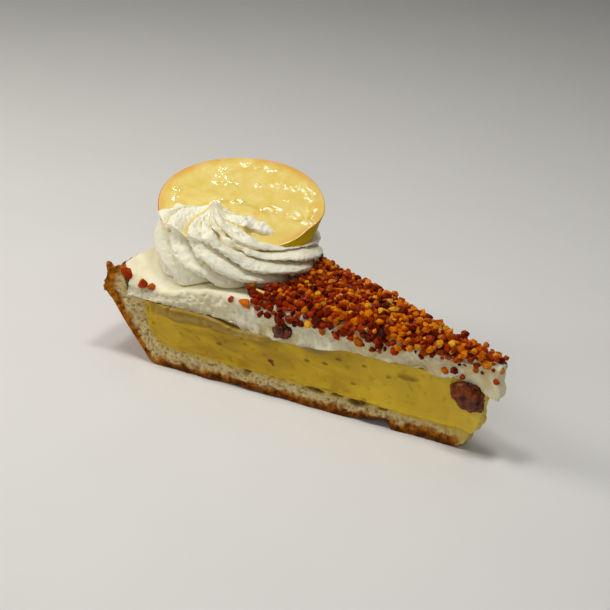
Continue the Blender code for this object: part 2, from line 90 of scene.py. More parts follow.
# Rosette
ROSETTE_CENTRE = np.array((-40.1, 1.7, 0))
ROSETTE_PEAK = np.array((-4.8, -8.6, 0))  # how far the peak lies from the centre of the foot
ROSETTE_RADIUS = 31
ROSETTE_FOOT = 28.4
ROSETTE_HEIGHT = 20.5
ROSETTE_SQUARENESS = 3.4  # 2 would be a half ball, more gives steeper sides and a flatter top
PETALS = 12
PETAL_EDGES = [  # degrees round Z from +X of the nearest petals' edges, in nine even steps from foot to peak
    (-95, -134, -144, -145, -142, -134, -133, -134, -160),
    (-62, -88, -101, -106, -104, -101, -106, -128, -175),
    (-30, -59, -74, -85, -83, -76, -75, -79, -80),
    (8, -10, -38, -53, -60, -58, -57, -66, -72),
    (48, 26, 6, -10, -28, -29, -37, -52, -60),
    (80, 62, 44, 28, 9, -14, -26, -38, -50),
    (108, 90, 72, 52, 30, 21, 17, 2, -20),
]
EDGES_END = [1.0, 1.0, 0.97, 0.9, 0.88, 0.84, 0.88]  # how near to the peak each edge reaches
SPARE_EDGE_END = 0.9  # the same for the edges behind
PETAL_STEP = 0.11  # how soon an edge follows the groove before it, as a share of a petal
PETAL_LEAN = math.radians(5)  # how far an edge leans back over that groove
PETAL_DEPTH = 7.4
PRESSED_BY_APPLE = 4.2  # how much lower the top is where the apple starts to press on it

# Apple slice
APPLE_WIDTH = 59.6
APPLE_DEPTH = 42
APPLE_THICKNESS = 7
APPLE_FACES = math.radians(37)  # the way its face looks, round Z from -Y towards +X
APPLE_LEAN = math.radians(57)  # how far its face looks up
APPLE_SKEW = -0.8  # how far its hidden face is shifted
APPLE_TRIM = 0.11  # how much shorter its radius is at the lower corner towards the tip
APPLE_CENTRE = Vector((-39.4, 1.5, 54.8))

# Brittle
BRITTLE_START = 2.5  # how far from the tip it begins
BRITTLE_AT_CUT = 80  # and how far from the tip it ends at the near cut

# Relief of the cut faces: how deep, how long its waves, and its seed
SHELL_CUT = (0.55, 9, 5.0)
CUSTARD_CUT = (0.5, 16, 8.0)
CREAM_CUT = (0.6, 8, 11.0)

# How finely each piece's surface is divided
SHELL_CELLS = (430, 76, 28)  # along its section, from cut to cut, and through it
CUSTARD_CELLS = (330, 30, 48)
CREAM_CELLS = (330, 80, 24)
BED_CELLS = (240, 110, 2)
ROSETTE_RINGS, PETAL_POINTS = 146, 48
APPLE_POINTS = 420
RAISIN_SPLITS = 6


def smooth(value, low, high):
    """0 below low, 1 above high, and an even S between."""
    t = np.clip((value - low) / (high - low), 0, 1)
    return t * t * (3 - 2 * t)


def fade(value, low, high):
    """1 below low, 0 above high, and an even S between."""
    return 1 - smooth(value, low, high)


def hump(value, low, high, edge):
    """1 between low and high, falling to 0 within edge outside them."""
    return smooth(value, low - edge, low) * fade(value, high, high + edge)


def curve(a, b, c, d, t):
    """A smooth curve through four knots, from b to c as t goes from 0 to 1."""
    return b + 0.5 * t * (c - a + t * (2 * a - 5 * b + 4 * c - d + t * (3 * b - a - 3 * c + d)))


def at(line, radius):
    """The height at a radius of a line through points, each a radius and a height."""
    return np.interp(radius, *np.transpose(line))


def uneven(places, wavelength, seed=0.0):
    """Smooth noise from about -1 to 1 at each place, whose bumps are a wavelength apart."""
    shifted = places / wavelength + np.array((seed, 7.3 * seed, -3.1 * seed))
    return 1.6 * np.array([noise.noise(place) for place in shifted.tolist()])


def bumps(places, *waves):
    """Several kinds of noise laid over each other; a wave is its height, its length and its seed."""
    return sum(height * uneven(places, length, seed) for height, length, seed in waves)


def pits(places, wavelength, seed, least=0.1, most=0.7):
    """0 on a surface and up to 1 in its pits."""
    return smooth(uneven(places, wavelength, seed), least, most)


def ovals(radius, height, *spots):
    """1 in the middle of ovals on a cut face and 0 outside; a spot is radius, height and half sizes."""
    total = 0
    for along, up, wide, high in spots:
        total = total + 1 - smooth(np.hypot((radius - along) / wide, (height - up) / high), 0.5, 1)
    return np.clip(total, 0, 1)


# --- The large forms ---


def section(outline, share):
    """Radius and height along an outline: its level base, then a smooth curve through its other rungs."""
    knots = np.array(outline[1:], float)
    knots = np.concatenate((knots[:1] - (knots[1] - knots[0]), knots, 2 * knots[-1:] - knots[-2:-1]))
    climb = np.clip((share - BASE_SHARE) / (1 - BASE_SHARE), 0, 1) * (len(outline) - 2)
    rung = np.minimum(climb.astype(int), len(outline) - 3)
    wall = curve(*(knots[rung + n] for n in range(4)), (climb - rung)[:, None])
    start, end = np.array(outline[0], float), np.array(outline[1], float)
    level = start + (end - start) * np.clip(share / BASE_SHARE, 0, 1)[:, None]
    return np.where((share < BASE_SHARE)[:, None], level, wall).T


def half_width(radius):
    """From the middle of the wedge to its cut, at a radius."""
    return radius * math.sin(HALF_ANGLE) + KNIFE_WIDTH * np.exp(-radius / 9)


def in_wedge(radius, side, height):
    """Points from their radius, their distance from the middle of the wedge and their height."""
    share = np.clip(side / half_width(radius), -1.2, 1.2)
    return np.stack((TIP_X - radius * np.cos(HALF_ANGLE * share), side, height + 0 * radius), -1)


def custard_top(radius, side):
    """The custard's top, wavy, and sunk a little under the middle of the cream."""
    wave = 0.5 * uneven(np.stack((radius, side, 0 * radius), -1), 24, 1.7)
    return CUSTARD_TOP + wave - hump(radius, 76, 88, 14) * CUSTARD_DIP - 0.6 * smooth(radius, 108, 117)


def cream_top(radius, share):
    """The cream's top, share going from -1 to 1 across the wedge: level, then falling to the shell's rim."""
    wave = 0.5 * np.sin(radius / 17) * smooth(radius, 0, 20)
    fall = (CREAM_TOP - CREAM_AT_RIM) * smooth(radius, 100, 127)
    pressed = (CREAM_TOP - CREAM_AT_CUT) * smooth(radius, 98, 121) - 1.7 * smooth(radius, 121, 131)
    at_cut = fade(share, -1, -0.5)
    return CREAM_TOP + wave - fall * (1 - at_cut) - pressed * at_cut


def draped(radius, share, lift):
    """Side and height on the cream's top, share going from -1 to 1 across it and over both its shoulders."""
    half = half_width(radius)
    bend = np.minimum(SHOULDER, 0.8 * half) * (1 - 0.6 * smooth(radius, 84, 96))
    top = cream_top(radius, share)
    flat = half - bend
    over = flat / (flat + bend * math.pi / 2)
    turn = np.clip((np.abs(share) - over) / (1 - over), 0, None) * math.radians(84)
    side = np.where(turn > 0, flat + (bend + lift) * np.sin(turn), np.abs(share) / over * flat)
    height = np.where(turn > 0, top - bend + (bend + lift) * np.cos(turn), top + lift)
    return np.copysign(side, share), height


def nose(radius, height):
    """How far the filling leans out over the tip at a height."""
    lean = LEAN * smooth(height, 5, 12) + NOSE * smooth(height, 25.5, 30)
    return lean * np.exp(-radius / LEAN_REACH)


def cut_relief(radius, height, side, depth, wavelength, seed):
    """How far a cut face stands proud of the knife's plane; the two faces have reliefs of their own."""
    return depth * uneven(np.stack((radius, np.copysign(400, side), height), -1), wavelength, seed)


# --- Making meshes ---


def box_surface(cells):
    """Places from 0 to 1 along three axes over the surface of a box of cells, and its quads, facing out."""
    quads = []
    for axis in range(3):
        a, b = (axis + 1) % 3, (axis + 2) % 3
        along, across = np.meshgrid(np.arange(cells[a]), np.arange(cells[b]), indexing="ij")
        for end in (0, cells[axis]):
            corners = np.zeros((along.size, 4, 3), int)
            for n, (step_a, step_b) in enumerate(((0, 0), (1, 0), (1, 1), (0, 1))):
                corners[:, n, axis] = end
                corners[:, n, a] = along.ravel() + step_a
                corners[:, n, b] = across.ravel() + step_b
            quads.append(corners if end else corners[:, ::-1])
    corners = np.concatenate(quads).reshape(-1, 3)
    strides = np.array(((cells[1] + 1) * (cells[2] + 1), cells[2] + 1, 1))
    _, first, index = np.unique(corners @ strides, return_index=True, return_inverse=True)
    return corners[first] / cells, index.reshape(-1, 4)


def body_of_rings(rings):
    """A closed body from rings of points, lowest first, closed at each end by a fan round its middle."""
    count, around, _ = rings.shape
    index = np.arange(count * around).reshape(count, around)
    low, high = index[:-1], index[1:]
    quads = np.stack((low, np.roll(low, -1, 1), np.roll(high, -1, 1), high), -1).reshape(-1, 4)
    under = np.stack((np.roll(index[0], -1), index[0], np.full(around, count * around)), -1)
    over = np.stack((index[-1], np.roll(index[-1], -1), np.full(around, count * around + 1)), -1)
    middles = [rings[0].mean(0)[None], rings[-1].mean(0)[None]]
    return np.concatenate((rings.reshape(-1, 3), *middles)), quads, np.concatenate((under, over))


def raised(points, quads, amount):
    """Points moved out of their surface, each by its own amount."""
    a, b, c, d = (points[quads[:, n]] for n in range(4))
    normals = np.cross(c - a, d - b)
    total = np.zeros_like(points)
    for n in range(4):
        for axis in range(3):
            total[:, axis] += np.bincount(quads[:, n], normals[:, axis], len(points))
    facing = total / np.maximum(np.linalg.norm(total, axis=1, keepdims=True), 1e-6)
    return points + facing * amount[:, None]


def make_piece(name, points, faces, material, node=None, marks=None, facets=False):
    """A piece of the slice, with its marks for the material and the solid that it stands for."""
    mesh = bpy.data.meshes.new(name)
    mesh.from_pydata((points * MM).tolist(), [], faces)
    for mark, values in (marks or {}).items():
        attribute = mesh.attributes.new(mark, "FLOAT", "POINT")
        attribute.data.foreach_set("value", np.asarray(values, np.float32))
    if facets:
        mesh.shade_flat()
    else:
        mesh.shade_smooth()
    mesh.materials.append(material)
    piece = bpy.data.objects.new(name, mesh)
    bpy.context.scene.collection.objects.link(piece)
    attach(piece, "root")
    if node:
        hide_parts(node)
    return piece


# --- Materials ---


def colour(hex_code):
    """A linear colour from an sRGB hex code."""
    channels = [int(hex_code[n : n + 2], 16) / 255 for n in (1, 3, 5)]
    return (*[c / 12.92 if c <= 0.04045 else ((c + 0.055) / 1.055) ** 2.4 for c in channels], 1)


def per(size):
    """The texture scale that makes a pattern's repeat this many millimetres long."""
    return 1 / (size * MM)


FACTOR, MIX_A, MIX_B = 0, 6, 7  # a colour Mix node's inputs
USED_OUTPUT = {"TexCoord": "Object", "Attribute": "Fac", "Mix": 2}  # where it isn't a node's first output


def add(tree, kind, inputs=None, **settings):
    """Adds a node with its settings and gives its output; an input is a value or another node's output."""
    node = tree.nodes.new("ShaderNode" + kind)
    for name, value in settings.items():
        setattr(node, name, value)
    for name, value in (inputs or {}).items():
        if isinstance(value, bpy.types.NodeSocket):
            tree.links.new(value, node.inputs[name])
        else:
            node.inputs[name].default_value = value
    return node.outputs[USED_OUTPUT.get(kind, 0)] if node.outputs else None


def new_material(name):
    """An empty material, its node tree, and where each point of the surface lies."""
    material = bpy.data.materials.new(name)
    material.use_nodes = True
    tree = material.node_tree
    tree.nodes.clear()
    return material, tree, add(tree, "TexCoord")


def two_tone(tree, texture, low, high, dark, light):
    """A texture turned into a colour: dark up to its value low, light from its value high, even between."""
    shade = add(tree, "MapRange", {"Value": texture, "From Min": low, "From Max": high})
    return add(tree, "Mix", {FACTOR: shade, MIX_A: colour(dark), MIX_B: colour(light)}, data_type="RGBA")


def painted(tree, surface, layers):
    """Lays paints over a surface where the piece is marked for them; a paint is a hex code or an output."""
    for mark, paint in layers.items():
        share = add(tree, "Attribute", attribute_name=mark)
        paint = colour(paint) if isinstance(paint, str) else paint
        surface = add(tree, "Mix", {FACTOR: share, MIX_A: surface, MIX_B: paint}, data_type="RGBA")
    return surface


def finish(material, tree, look, relief=None):
    """Gives a material its look and its relief: a texture, how strong it is and how high it rises."""
    if relief:
        texture, strength, rise = relief
        look["Normal"] = add(tree, "Bump", {"Height": texture, "Strength": strength, "Distance": rise * MM})
    add(tree, "OutputMaterial", {"Surface": add(tree, "BsdfPrincipled", look)})
    return material


def baked_dough():
    """Baked yeast dough: a dry pale crumb full of pores, and a thin skin browned unevenly, gold to dark."""
    material, tree, where = new_material("baked_dough")
    blotches = add(tree, "TexNoise", {"Vector": where, "Scale": per(3), "Detail": 5, "Roughness": 0.7})
    strands = add(tree, "TexNoise", {"Vector": where, "Scale": per(0.9), "Detail": 5, "Roughness": 0.6})
    # Painted shade: the crumb is darker down in its pores and in the crevices beside the custard.
    surface = painted(tree, two_tone(tree, strands, 0.35, 0.65, "#CDB478", "#E6D3A0"), {
        "pore_and_crevice_shade": "#9A7630",
        "soaked": "#D0B040",
        "baked": two_tone(tree, blotches, 0.4, 0.62, "#6C2C04", "#CC7E10"),
        # real browning under the base, with painted shade, near black, in the crevices
        "scorch_and_crevice_shade": "#46200A",
    })
    return finish(material, tree, {
        "Base Color": surface, "Roughness": 0.8, "IOR": 1.45, "Specular IOR Level": 0.12,
    }, (strands, 0.7, 0.35))


def baked_custard():
    """Baked egg custard, cut with a wet knife: smooth, moist, a little see-through, paler towards the tip."""
    material, tree, where = new_material("baked_custard")
    stretched = add(tree, "Mapping", {"Vector": where, "Scale": (0.35, 1, 1)})
    clouds = add(tree, "TexNoise", {"Vector": stretched, "Scale": per(7), "Detail": 3, "Distortion": 0.8})
    specks = add(tree, "TexNoise", {"Vector": where, "Scale": per(1.1), "Detail": 3})
    # The deep mark is painted shade: darker in the recess under the cream's overhang and inside the bubbles.
    surface = painted(tree, two_tone(tree, clouds, 0.35, 0.65, "#BA9200", "#DAB410"), {
        "pale": "#ECC92C", "deep": "#9A7808", "shadow": "#8E7C40", "rusty": "#7A2606", "film": "#DCC470",
    })
    return finish(material, tree, {
        "Base Color": surface, "Roughness": 0.38, "IOR": 1.38,
        "Subsurface Weight": 0.25, "Subsurface Radius": (1, 0.6, 0.15), "Subsurface Scale": 1.2 * MM,
    }, (specks, 0.35, 0.15))


def whipped_cream():
    """Whipped cream under the brittle: ivory and satin, rough and full of small holes where it was cut."""
    material, tree, where = new_material("whipped_cream")
    foam = add(tree, "TexNoise", {"Vector": where, "Scale": per(0.8), "Detail": 5, "Roughness": 0.6})
    drift = add(tree, "TexNoise", {"Vector": where, "Scale": per(12), "Detail": 2})
    surface = painted(tree, two_tone(tree, drift, 0.35, 0.65, "#EBE2BC", "#F2ECD2"), {"stained": "#D9C480"})
    return finish(material, tree, {
        "Base Color": surface, "Roughness": 0.55, "IOR": 1.4,
        "Subsurface Weight": 0.35, "Subsurface Radius": (1, 0.8, 0.4), "Subsurface Scale": 1.5 * MM,
    }, (foam, 0.5, 0.25))


def piped_cream():
    """Cream piped through a star nozzle: satin white crests, painted shade warmer and yellower in the grooves.
    """
    material, tree, where = new_material("piped_cream")
    foam = add(tree, "TexNoise", {"Vector": where, "Scale": per(0.7), "Detail": 5, "Roughness": 0.6})
    # The groove mark is painted shade: a warmer, yellower cream down in the grooves.
    return finish(material, tree, {
        "Base Color": painted(tree, colour("#F9F3DA"), {"groove": "#E2C862"}), "Roughness": 0.5, "IOR": 1.4,
        "Subsurface Weight": 0.25, "Subsurface Radius": (1, 0.8, 0.4), "Subsurface Scale": 1.0 * MM,
    }, (foam, 0.6, 0.25))


def broken_sugar(name, darkest, lightest, roughness, glow):
    """Boiled sugar or nut, broken small: each piece a little lighter or darker than the next."""
    material, tree, where = new_material(name)
    tone = add(tree, "Attribute", attribute_name="tone")
    streaks = add(tree, "TexNoise", {"Vector": where, "Scale": per(1.3), "Detail": 3})
    mottled = add(tree, "Math", {0: streaks, 1: 0.5}, operation="SUBTRACT")
    shifted = add(tree, "Math", {0: mottled, 1: 0.9, 2: tone}, operation="MULTIPLY_ADD", use_clamp=True)
    body = add(tree, "Mix", {
        FACTOR: shifted, MIX_A: colour(darkest), MIX_B: colour(lightest)
    }, data_type="RGBA")
    return finish(material, tree, {
        "Base Color": body, "Roughness": roughness, "IOR": 1.5, "Specular IOR Level": 0.06,
        "Subsurface Weight": glow, "Subsurface Radius": (1, 0.3, 0.06), "Subsurface Scale": 1.0 * MM,
    }, (streaks, 0.5, 0.2))


def glazed_apple():
    """Raw apple under a clear fruit glaze: pale yellow flesh, gold skin with a red blush, a wet shine."""
    material, tree, where = new_material("glazed_apple")
    fibres = add(tree, "TexNoise", {"Vector": where, "Scale": per(5), "Detail": 4, "Distortion": 0.5})
    surface = painted(tree, two_tone(tree, fibres, 0.35, 0.65, "#EFCE66", "#F6DF88"), {
        "core": "#CDAE3A", "warm": "#E49A28", "skin": painted(tree, colour("#D4B400"), {"blush": "#C2480E"}),
    })
    skin = add(tree, "Attribute", attribute_name="skin")
    glaze = add(tree, "MapRange", {"Value": skin, "To Min": 1.0, "To Max": 0.0})
    return finish(material, tree, {
        "Base Color": surface, "Roughness": 0.4, "IOR": 1.4, "Specular IOR Level": 0.05,
        "Subsurface Weight": 0.2, "Subsurface Radius": (1, 0.7, 0.2), "Subsurface Scale": 0.8 * MM,
        "Coat Weight": glaze, "Coat Roughness": 0.03, "Coat IOR": 1.45,
    })


def moist_raisin():
    """A raisin swollen in the custard: a dark red-brown skin, wrinkled, with a wet shine on its folds."""
    material, tree, where = new_material("moist_raisin")
    mottle = add(tree, "TexNoise", {"Vector": where, "Scale": per(2.2), "Detail": 4})
    return finish(material, tree, {
        "Base Color": two_tone(tree, mottle, 0.38, 0.66, "#3A0E00", "#8C3C06"),
        "Roughness": 0.4, "IOR": 1.45, "Specular IOR Level": 0.03,
        "Subsurface Weight": 0.2, "Subsurface Radius": (1, 0.3, 0.1), "Subsurface Scale": 1.5 * MM,
        "Coat Weight": 0.5, "Coat Roughness": 0.04,
    }, (mottle, 0.15, 0.3))


def studio_floor():
    """A matt painted board, very slightly mottled."""
    material, tree, where = new_material("studio_floor")
    mottle = add(tree, "TexNoise", {"Vector": where, "Scale": per(60), "Detail": 3})
    paint = add(tree, "Mix", {
        FACTOR: mottle, MIX_A: colour("#DEDCD8"), MIX_B: colour("#E4E2DE")
    }, data_type="RGBA")
    return finish(material, tree, {"Base Color": paint, "Roughness": 0.7})


# --- Shell, custard and cream ---


CREVICES = [  # between the crumb and the custard, in the near cut: radius, height and half sizes
    (58.5, 7.0, 4.6, 1.0), (43.3, 6.6, 4.2, 1.7), (50.5, 7.2, 2.6, 0.7), (34, 6.6, 2.2, 0.6),
    (84, 7.2, 2.0, 0.6),
]
NOTCH = [(30, 0), (32.2, 3.5), (46, 0)]  # in the underside, at the near cut: radius and how high it reaches


def make_shell(material):
    """The dough shell: porous at its cuts, with a thin browned skin outside and a rough, flaking rim."""
    grid, quads = box_surface(SHELL_CELLS)
    u, v, w = grid.T
    share = 1 - 2 * v
    angle = share * HALF_ANGLE
    outer, inner = section(SHELL_OUTER, u), section(SHELL_INNER, u)
    radius, height = outer + (inner - outer) * w
    rung = 1 + np.clip((u - BASE_SHARE) / (1 - BASE_SHARE), 0, 1) * (len(SHELL_OUTER) - 2)
    along_rim = smooth(share, -1, -0.72)
    radius += RIM_THINS * along_rim * smooth(rung, 6, 7) * w
    ragged = uneven(np.stack((angle, 0.1 + 0 * w, w), -1), 0.11, 2.0)
    rough = uneven(np.stack((angle * RIM_RADIUS, 6 * w, 0 * w), -1), 2.4, 12.0)
    crest = RIM_AT_CUT + (RIM_TOP - RIM_AT_CUT) * along_rim
    dome = np.sin(math.pi * w) ** 0.6 * (0.93 + 0.12 * ragged + 0.1 * rough)
    height += (crest - height) * smooth(rung, 7, 8) * dome
    wall = smooth(rung, 3.6, 6.4) * fade(w, 0.1, 0.6)
    radius += wall * 0.7 * uneven(np.stack((angle * RIM_RADIUS, height, 0 * w), -1), 13, 4.0)
    side = share * half_width(radius)

    near, cut = v > 0.999, (v > 0.999) | (v < 0.001)
    relief = cut_relief(radius, height, side, *SHELL_CUT) * smooth(radius, 6, 20) * np.where(near, 1, 0.6)
    side += np.where(cut, np.copysign(relief, side), 0)
    beneath = fade(w, 0, 0.5)
    height += at(NOTCH, radius) * smooth(-share, 0.35, 0.8) * beneath
    height += 0.5 * hump(radius, 74, 92, 8) * smooth(np.abs(share), 0.8, 1) * beneath
    points = in_wedge(radius, side, height)

    thickness = np.hypot(*(outer - inner))
    deep = w * thickness  # below the outer skin
    wander = uneven(points, 2.5, 14.0)
    crumb = smooth(deep, 0.4, 1.6) * cut
    holes = 0.45 * pits(points, 1.8, 21.0, 0.3, 0.8) + 0.55 * pits(points, 0.95, 22.0, 0.25, 0.7)
    holes += 0.3 * pits(points, 3.6, 23.0, 0.45, 0.9)
    strands = bumps(points, (0.3, 1.5, 24.0), (0.16, 0.8, 28.0))
    crevice = ovals(radius, height, *CREVICES) * near * (0.75 + 0.25 * wander)
    sunk = (holes - strands) * crumb * np.minimum(1, half_width(radius) / 8) + 2.4 * crevice
    points[:, 1] += np.copysign(sunk, -points[:, 1])
    skin = bumps(points, (0.28, 3, 25.0), (0.16, 1.2, 26.0))
    level = fade(rung, 2, 3)
    outside = np.clip((w < 0.001) * (1 - level) + (u > 0.999), 0, 1)
    points = raised(points, quads, skin * outside * ~cut)
    points[:, 2] += 0.45 * np.clip(uneven(points, 1.8, 27.0), 0, 1) * (w < 0.001) * level

    flakes = smooth(rung, 5.6, 7) * fade(w, 0.5, 0.8) * (1 - smooth(deep, 0, 2) * cut)
    flaky = 0.8 * pits(points, 2.6, 29.0, -0.1, 0.5) + 0.4 * uneven(points, 1.2, 30.0)
    points = raised(points, quads, flaky * flakes * (1 - 0.7 * along_rim))
    curl = np.exp(-(((share + 0.965) / 0.03) ** 2) - ((w - 0.2) / 0.12) ** 2) * smooth(rung, 7, 7.6)
    points += np.stack((-1.4 * curl, 0 * curl, 2.4 * curl), -1)
    points[:, 2] += 2.6 * fade(radius, 3.5, 9) * (1 - w)
    torn = bumps(points, (1.4, 3, 16.0), (0.9, 1.3, 17.0))
    points[:, 0] += np.exp(-radius / 4) * (torn - 1.5 * fade(height, 0, 2))

    skin_depth = 2.5 + 0.9 * wander + 0.9 * smooth(rung, 2.6, 3.6) + 1.5 * level * (1 + 0.4 * wander)
    skin_depth += 3.2 * smooth(rung, 5.2, 6.6) + 1.8 * hump(radius, 9, 22, 6)
    baked = fade(deep, 0.55 * skin_depth, skin_depth)
    baked = np.maximum(baked, smooth(rung, 7.5, 8) * (1 - 0.5 * smooth(w, 0.6, 1)))
    # Real scorching under the base; painted shade in the crevices is added to this mark below.
    scorch_and_crevice_shade = fade(rung, 2, 3.4) * fade(deep, 0.2 * skin_depth, 0.6 * skin_depth)
    scorch_and_crevice_shade *= (0.72 + 0.3 * wander) * smooth(radius, 6, 9)
    soaked = fade(thickness - deep, 0.3, 3.0 + 1.2 * wander)
    soaked = np.maximum(soaked, 0.7 * fade(radius, 6, 14))
    marks = {
        "baked": baked * smooth(radius, 5, 8.5),
        "soaked": soaked * fade(rung, 6, 7),
        # scorched underneath, plus painted shade in the crevices beside the custard
        "scorch_and_crevice_shade": np.clip(scorch_and_crevice_shade + 0.8 * crevice, 0, 1),
        # painted shade in the crumb's pores and in the crevices beside the custard
        "pore_and_crevice_shade": np.clip(holes * crumb + crevice, 0, 1),
    }
    return make_piece("dough_shell", points, quads.tolist(), material, "shell", marks)


BUBBLES = [  # in the custard's near cut: radius, height and half sizes
    (26.6, 21.1, 4.6, 1.5), (50.8, 20.9, 1.4, 0.7), (55.5, 18.2, 1.6, 0.7), (62, 17.6, 1.4, 0.7),
    (45, 13.4, 1.2, 0.6), (41.7, 21.0, 1.0, 0.5), (95.0, 15.0, 1.2, 0.5), (33, 19.5, 1.2, 0.5),
]
FILM = [  # where the cream left a pale streak: radius and height
    (84, 20.2), (88, 20.9), (92.2, 22.4), (98, 22.6), (108.5, 22.7), (113.6, 22.4), (120, 21.4),
]
SMEAR = (83, 22, 8, 2.2)
RUST = [(75.2, 13.6, 1.5, 1.0), (74.3, 12.6, 0.7, 1)]
RAISIN_SHADOW = (60, 23.6, 7, 3.4)


def make_custard(material):
    """The baked custard, from the tip to the shell's wall, its upper edge set back at the near cut."""
    grid, quads = box_surface(CUSTARD_CELLS)
    u, v, w = grid.T
    share = 1 - 2 * v
    near, cut = v > 0.999, (v > 0.999) | (v < 0.001)
    radius, low = section(CUSTARD_FLOOR, u)
    radius = radius + np.where(cut, 0.25, -GAP) * smooth(u, 0.7, 0.8)
    floor = low + np.where(cut, -0.25 * smooth(radius, 6, 16), GAP)
    side = share * half_width(radius)
    height = floor + (np.maximum(custard_top(radius, side), floor + 0.4) - floor) * w
    wall_radius, wall_height = np.transpose(CUSTARD_FLOOR[1:])
    from_crumb = np.minimum(height - low, np.interp(height, wall_height, wall_radius) - radius)
    flush = fade(from_crumb, 0.6, 5)
    own = cut_relief(radius, height, side, *CUSTARD_CUT) * smooth(radius, 6, 20)
    proud = own * (1 - flush) + cut_relief(radius, height, side, *SHELL_CUT) * flush
    places = np.stack((radius, side, height), -1)
    fringe = bumps(places, (0.14, 2.2, 36.0), (0.14, 0.9, 37.0)) - 0.4
    proud += fringe * fade(from_crumb, -0.2, 1.3)
    wavy = height + 0.7 * uneven(places * (1, 1, 0), 7, 38.0)
    ledge = 2.2 * hump(radius, 80, 112, 10) * smooth(wavy, 18.8, 21.6)
    bubbles = ovals(radius, height, *BUBBLES) * near
    proud -= ledge * np.where(near, 1, 0.5) + 0.8 * bubbles
    side += np.where(cut, np.copysign(proud, side), 0)
    points = in_wedge(radius, side, height)
    points[:, 0] += nose(radius, height)

    fine = 0.1 * uneven(points, 3.2, 31.0) + 0.05 * uneven(points * (0.4, 1, 1), 1.3, 32.0)
    pocks = 0.35 * pits(points, 2.0, 33.0, 0.6, 0.9)
    crumbly = bumps(points, (1.3, 3.4, 34.0), (0.9, 1.5, 35.0))
    points = raised(points, quads, fine - pocks + crumbly * np.exp(-radius / 3))

    pale = 0.5 * fade(radius, 30, 60) + 0.8 * np.exp(-radius / 5) + 0.3 * smooth(radius, 108, 121)
    # Painted shade: darker in the recess under the cream's overhang and inside the bubbles.
    deep = hump(radius, 78, 116, 10) * smooth(wavy, 18.8, 21.2) + bubbles
    film = hump(radius, 86, 114, 4) * fade(np.abs(wavy - at(FILM, radius)), 0, 1.7)
    film *= 0.2 + 0.1 * uneven(places, 8, 39.0)
    smear = 0.4 * ovals(radius, height, SMEAR) * (0.6 + 0.4 * uneven(places, 1.6, 40.0))
    marks = {
        "pale": np.clip(pale, 0, 1),
        "deep": np.clip(deep, 0, 1),
        "film": np.clip(near * (film + smear) + 0.6 * np.exp(-radius / 4), 0, 1),
        "rusty": near * ovals(radius, height, *RUST),
        "shadow": near * ovals(radius, height, RAISIN_SHADOW) * 0.8,
    }
    return make_piece("baked_custard", points, quads.tolist(), material, "custard", marks)


def make_cream(material):
    """The layer of whipped cream: smooth where it was spread, torn and porous where it was cut."""
    grid, quads = box_surface(CREAM_CELLS)
    u, v, w = grid.T
    share = 1 - 2 * v
    near, cut = v > 0.999, (v > 0.999) | (v < 0.001)
    radius = 3 + 128 * u
    low = custard_top(radius, share * half_width(radius)) + GAP
    low += (at(CREAM_LEDGE, radius) - low) * smooth(radius, 122.8, 123.8)
    side, high = draped(radius, share, 0)
    height = low + (np.maximum(high, low + 0.8) - low) * w
    lapped = smooth(share, -0.97, -0.72) * smooth(radius, 123.5, 131)
    radius = radius + (RIM_THINS + 2.8 * smooth(w, 0.4, 0.9)) * lapped
    height += 0.9 * lapped * smooth(w, 0.4, 1)
    straight = share * half_width(radius)
    beneath = fade(w, 0, 0.35)
    proud = cut_relief(radius, height, straight, *CREAM_CUT) + 0.5 * (1 - w)
    seam = cut_relief(radius, height, straight, *CUSTARD_CUT) + 0.4
    proud += (seam - proud) * fade(w, 0, 0.5)
    proud += near * 0.6 * beneath * fade(radius, 64, 76) + 0.8 * fade(radius, 6, 14)
    at_cut = side + (straight - side) * (1 - w * w) + np.copysign(proud, share) * smooth(radius, 3, 14)
    side = np.where(cut, at_cut, np.where(w < 0.99, straight, side))
    hung = at(CREAM_EDGE, radius) + 0.2 * uneven(np.stack((radius, 0 * w, 0 * w), -1), 2.2, 41.0)
    height += near * (hung - height) * beneath
    leaning = nose(radius, np.maximum(height, 29.4 * fade(radius, 5, 9)))
    leaning += 1.2 * hump(w, 0.12, 0.3, 0.25) * fade(radius, 3.2, 8)
    height -= 3.0 * fade(radius, 3.4, 8) * (1 - w) ** 1.3
    points = in_wedge(radius, side, height)
    points[:, 0] += leaning

    torn = cut * smooth(radius, 4, 14) * np.where(radius > 60, 1, 0.8)
    holes = 0.28 * pits(points, 1.9, 42.0, 0.2) + 0.32 * pits(points, 1.0, 43.0, 0.2)
    crags = bumps(points, (0.24, 4.5, 44.0), (0.24, 1.7, 45.0), (0.1, 0.8, 49.0))
    ragged = bumps(points, (0.25, 3.4, 50.0), (0.25, 1.2, 51.0))
    points[:, 0] += 1.4 * ragged * np.exp(-radius / 4) * (1 - 0.6 * w)
    spread = bumps(points, (0.35, 8, 46.0), (0.2, 3, 47.0), (0.08, 1.3, 55.5))
    points = raised(points, quads, (crags - holes) * torn + spread * (w > 0.99) * ~cut)
    stained = hump(radius, 68, 88, 5) * smooth(uneven(points, 5, 48.0), -0.2, 0.4) * (1 - w)
    smudged = 0.7 * fade(radius, 40, 56) * smooth(uneven(points, 4, 52.5), -0.3, 0.5)
    marks = {"stained": near * np.maximum(stained, smudged)}
    return make_piece("whipped_cream", points, quads.tolist(), material, "cream_layer", marks)


# --- Rosette ---


def rosette_foot(places):
    """The height of the rosette's underside, which lies on the cream or just beyond its edge."""
    radius = np.hypot(TIP_X - places[:, 0], places[:, 1])
    share = np.maximum(-1, np.arctan2(places[:, 1], TIP_X - places[:, 0]) / HALF_ANGLE)
    return cream_top(np.minimum(radius, 131), share) + 2.2 * GAP


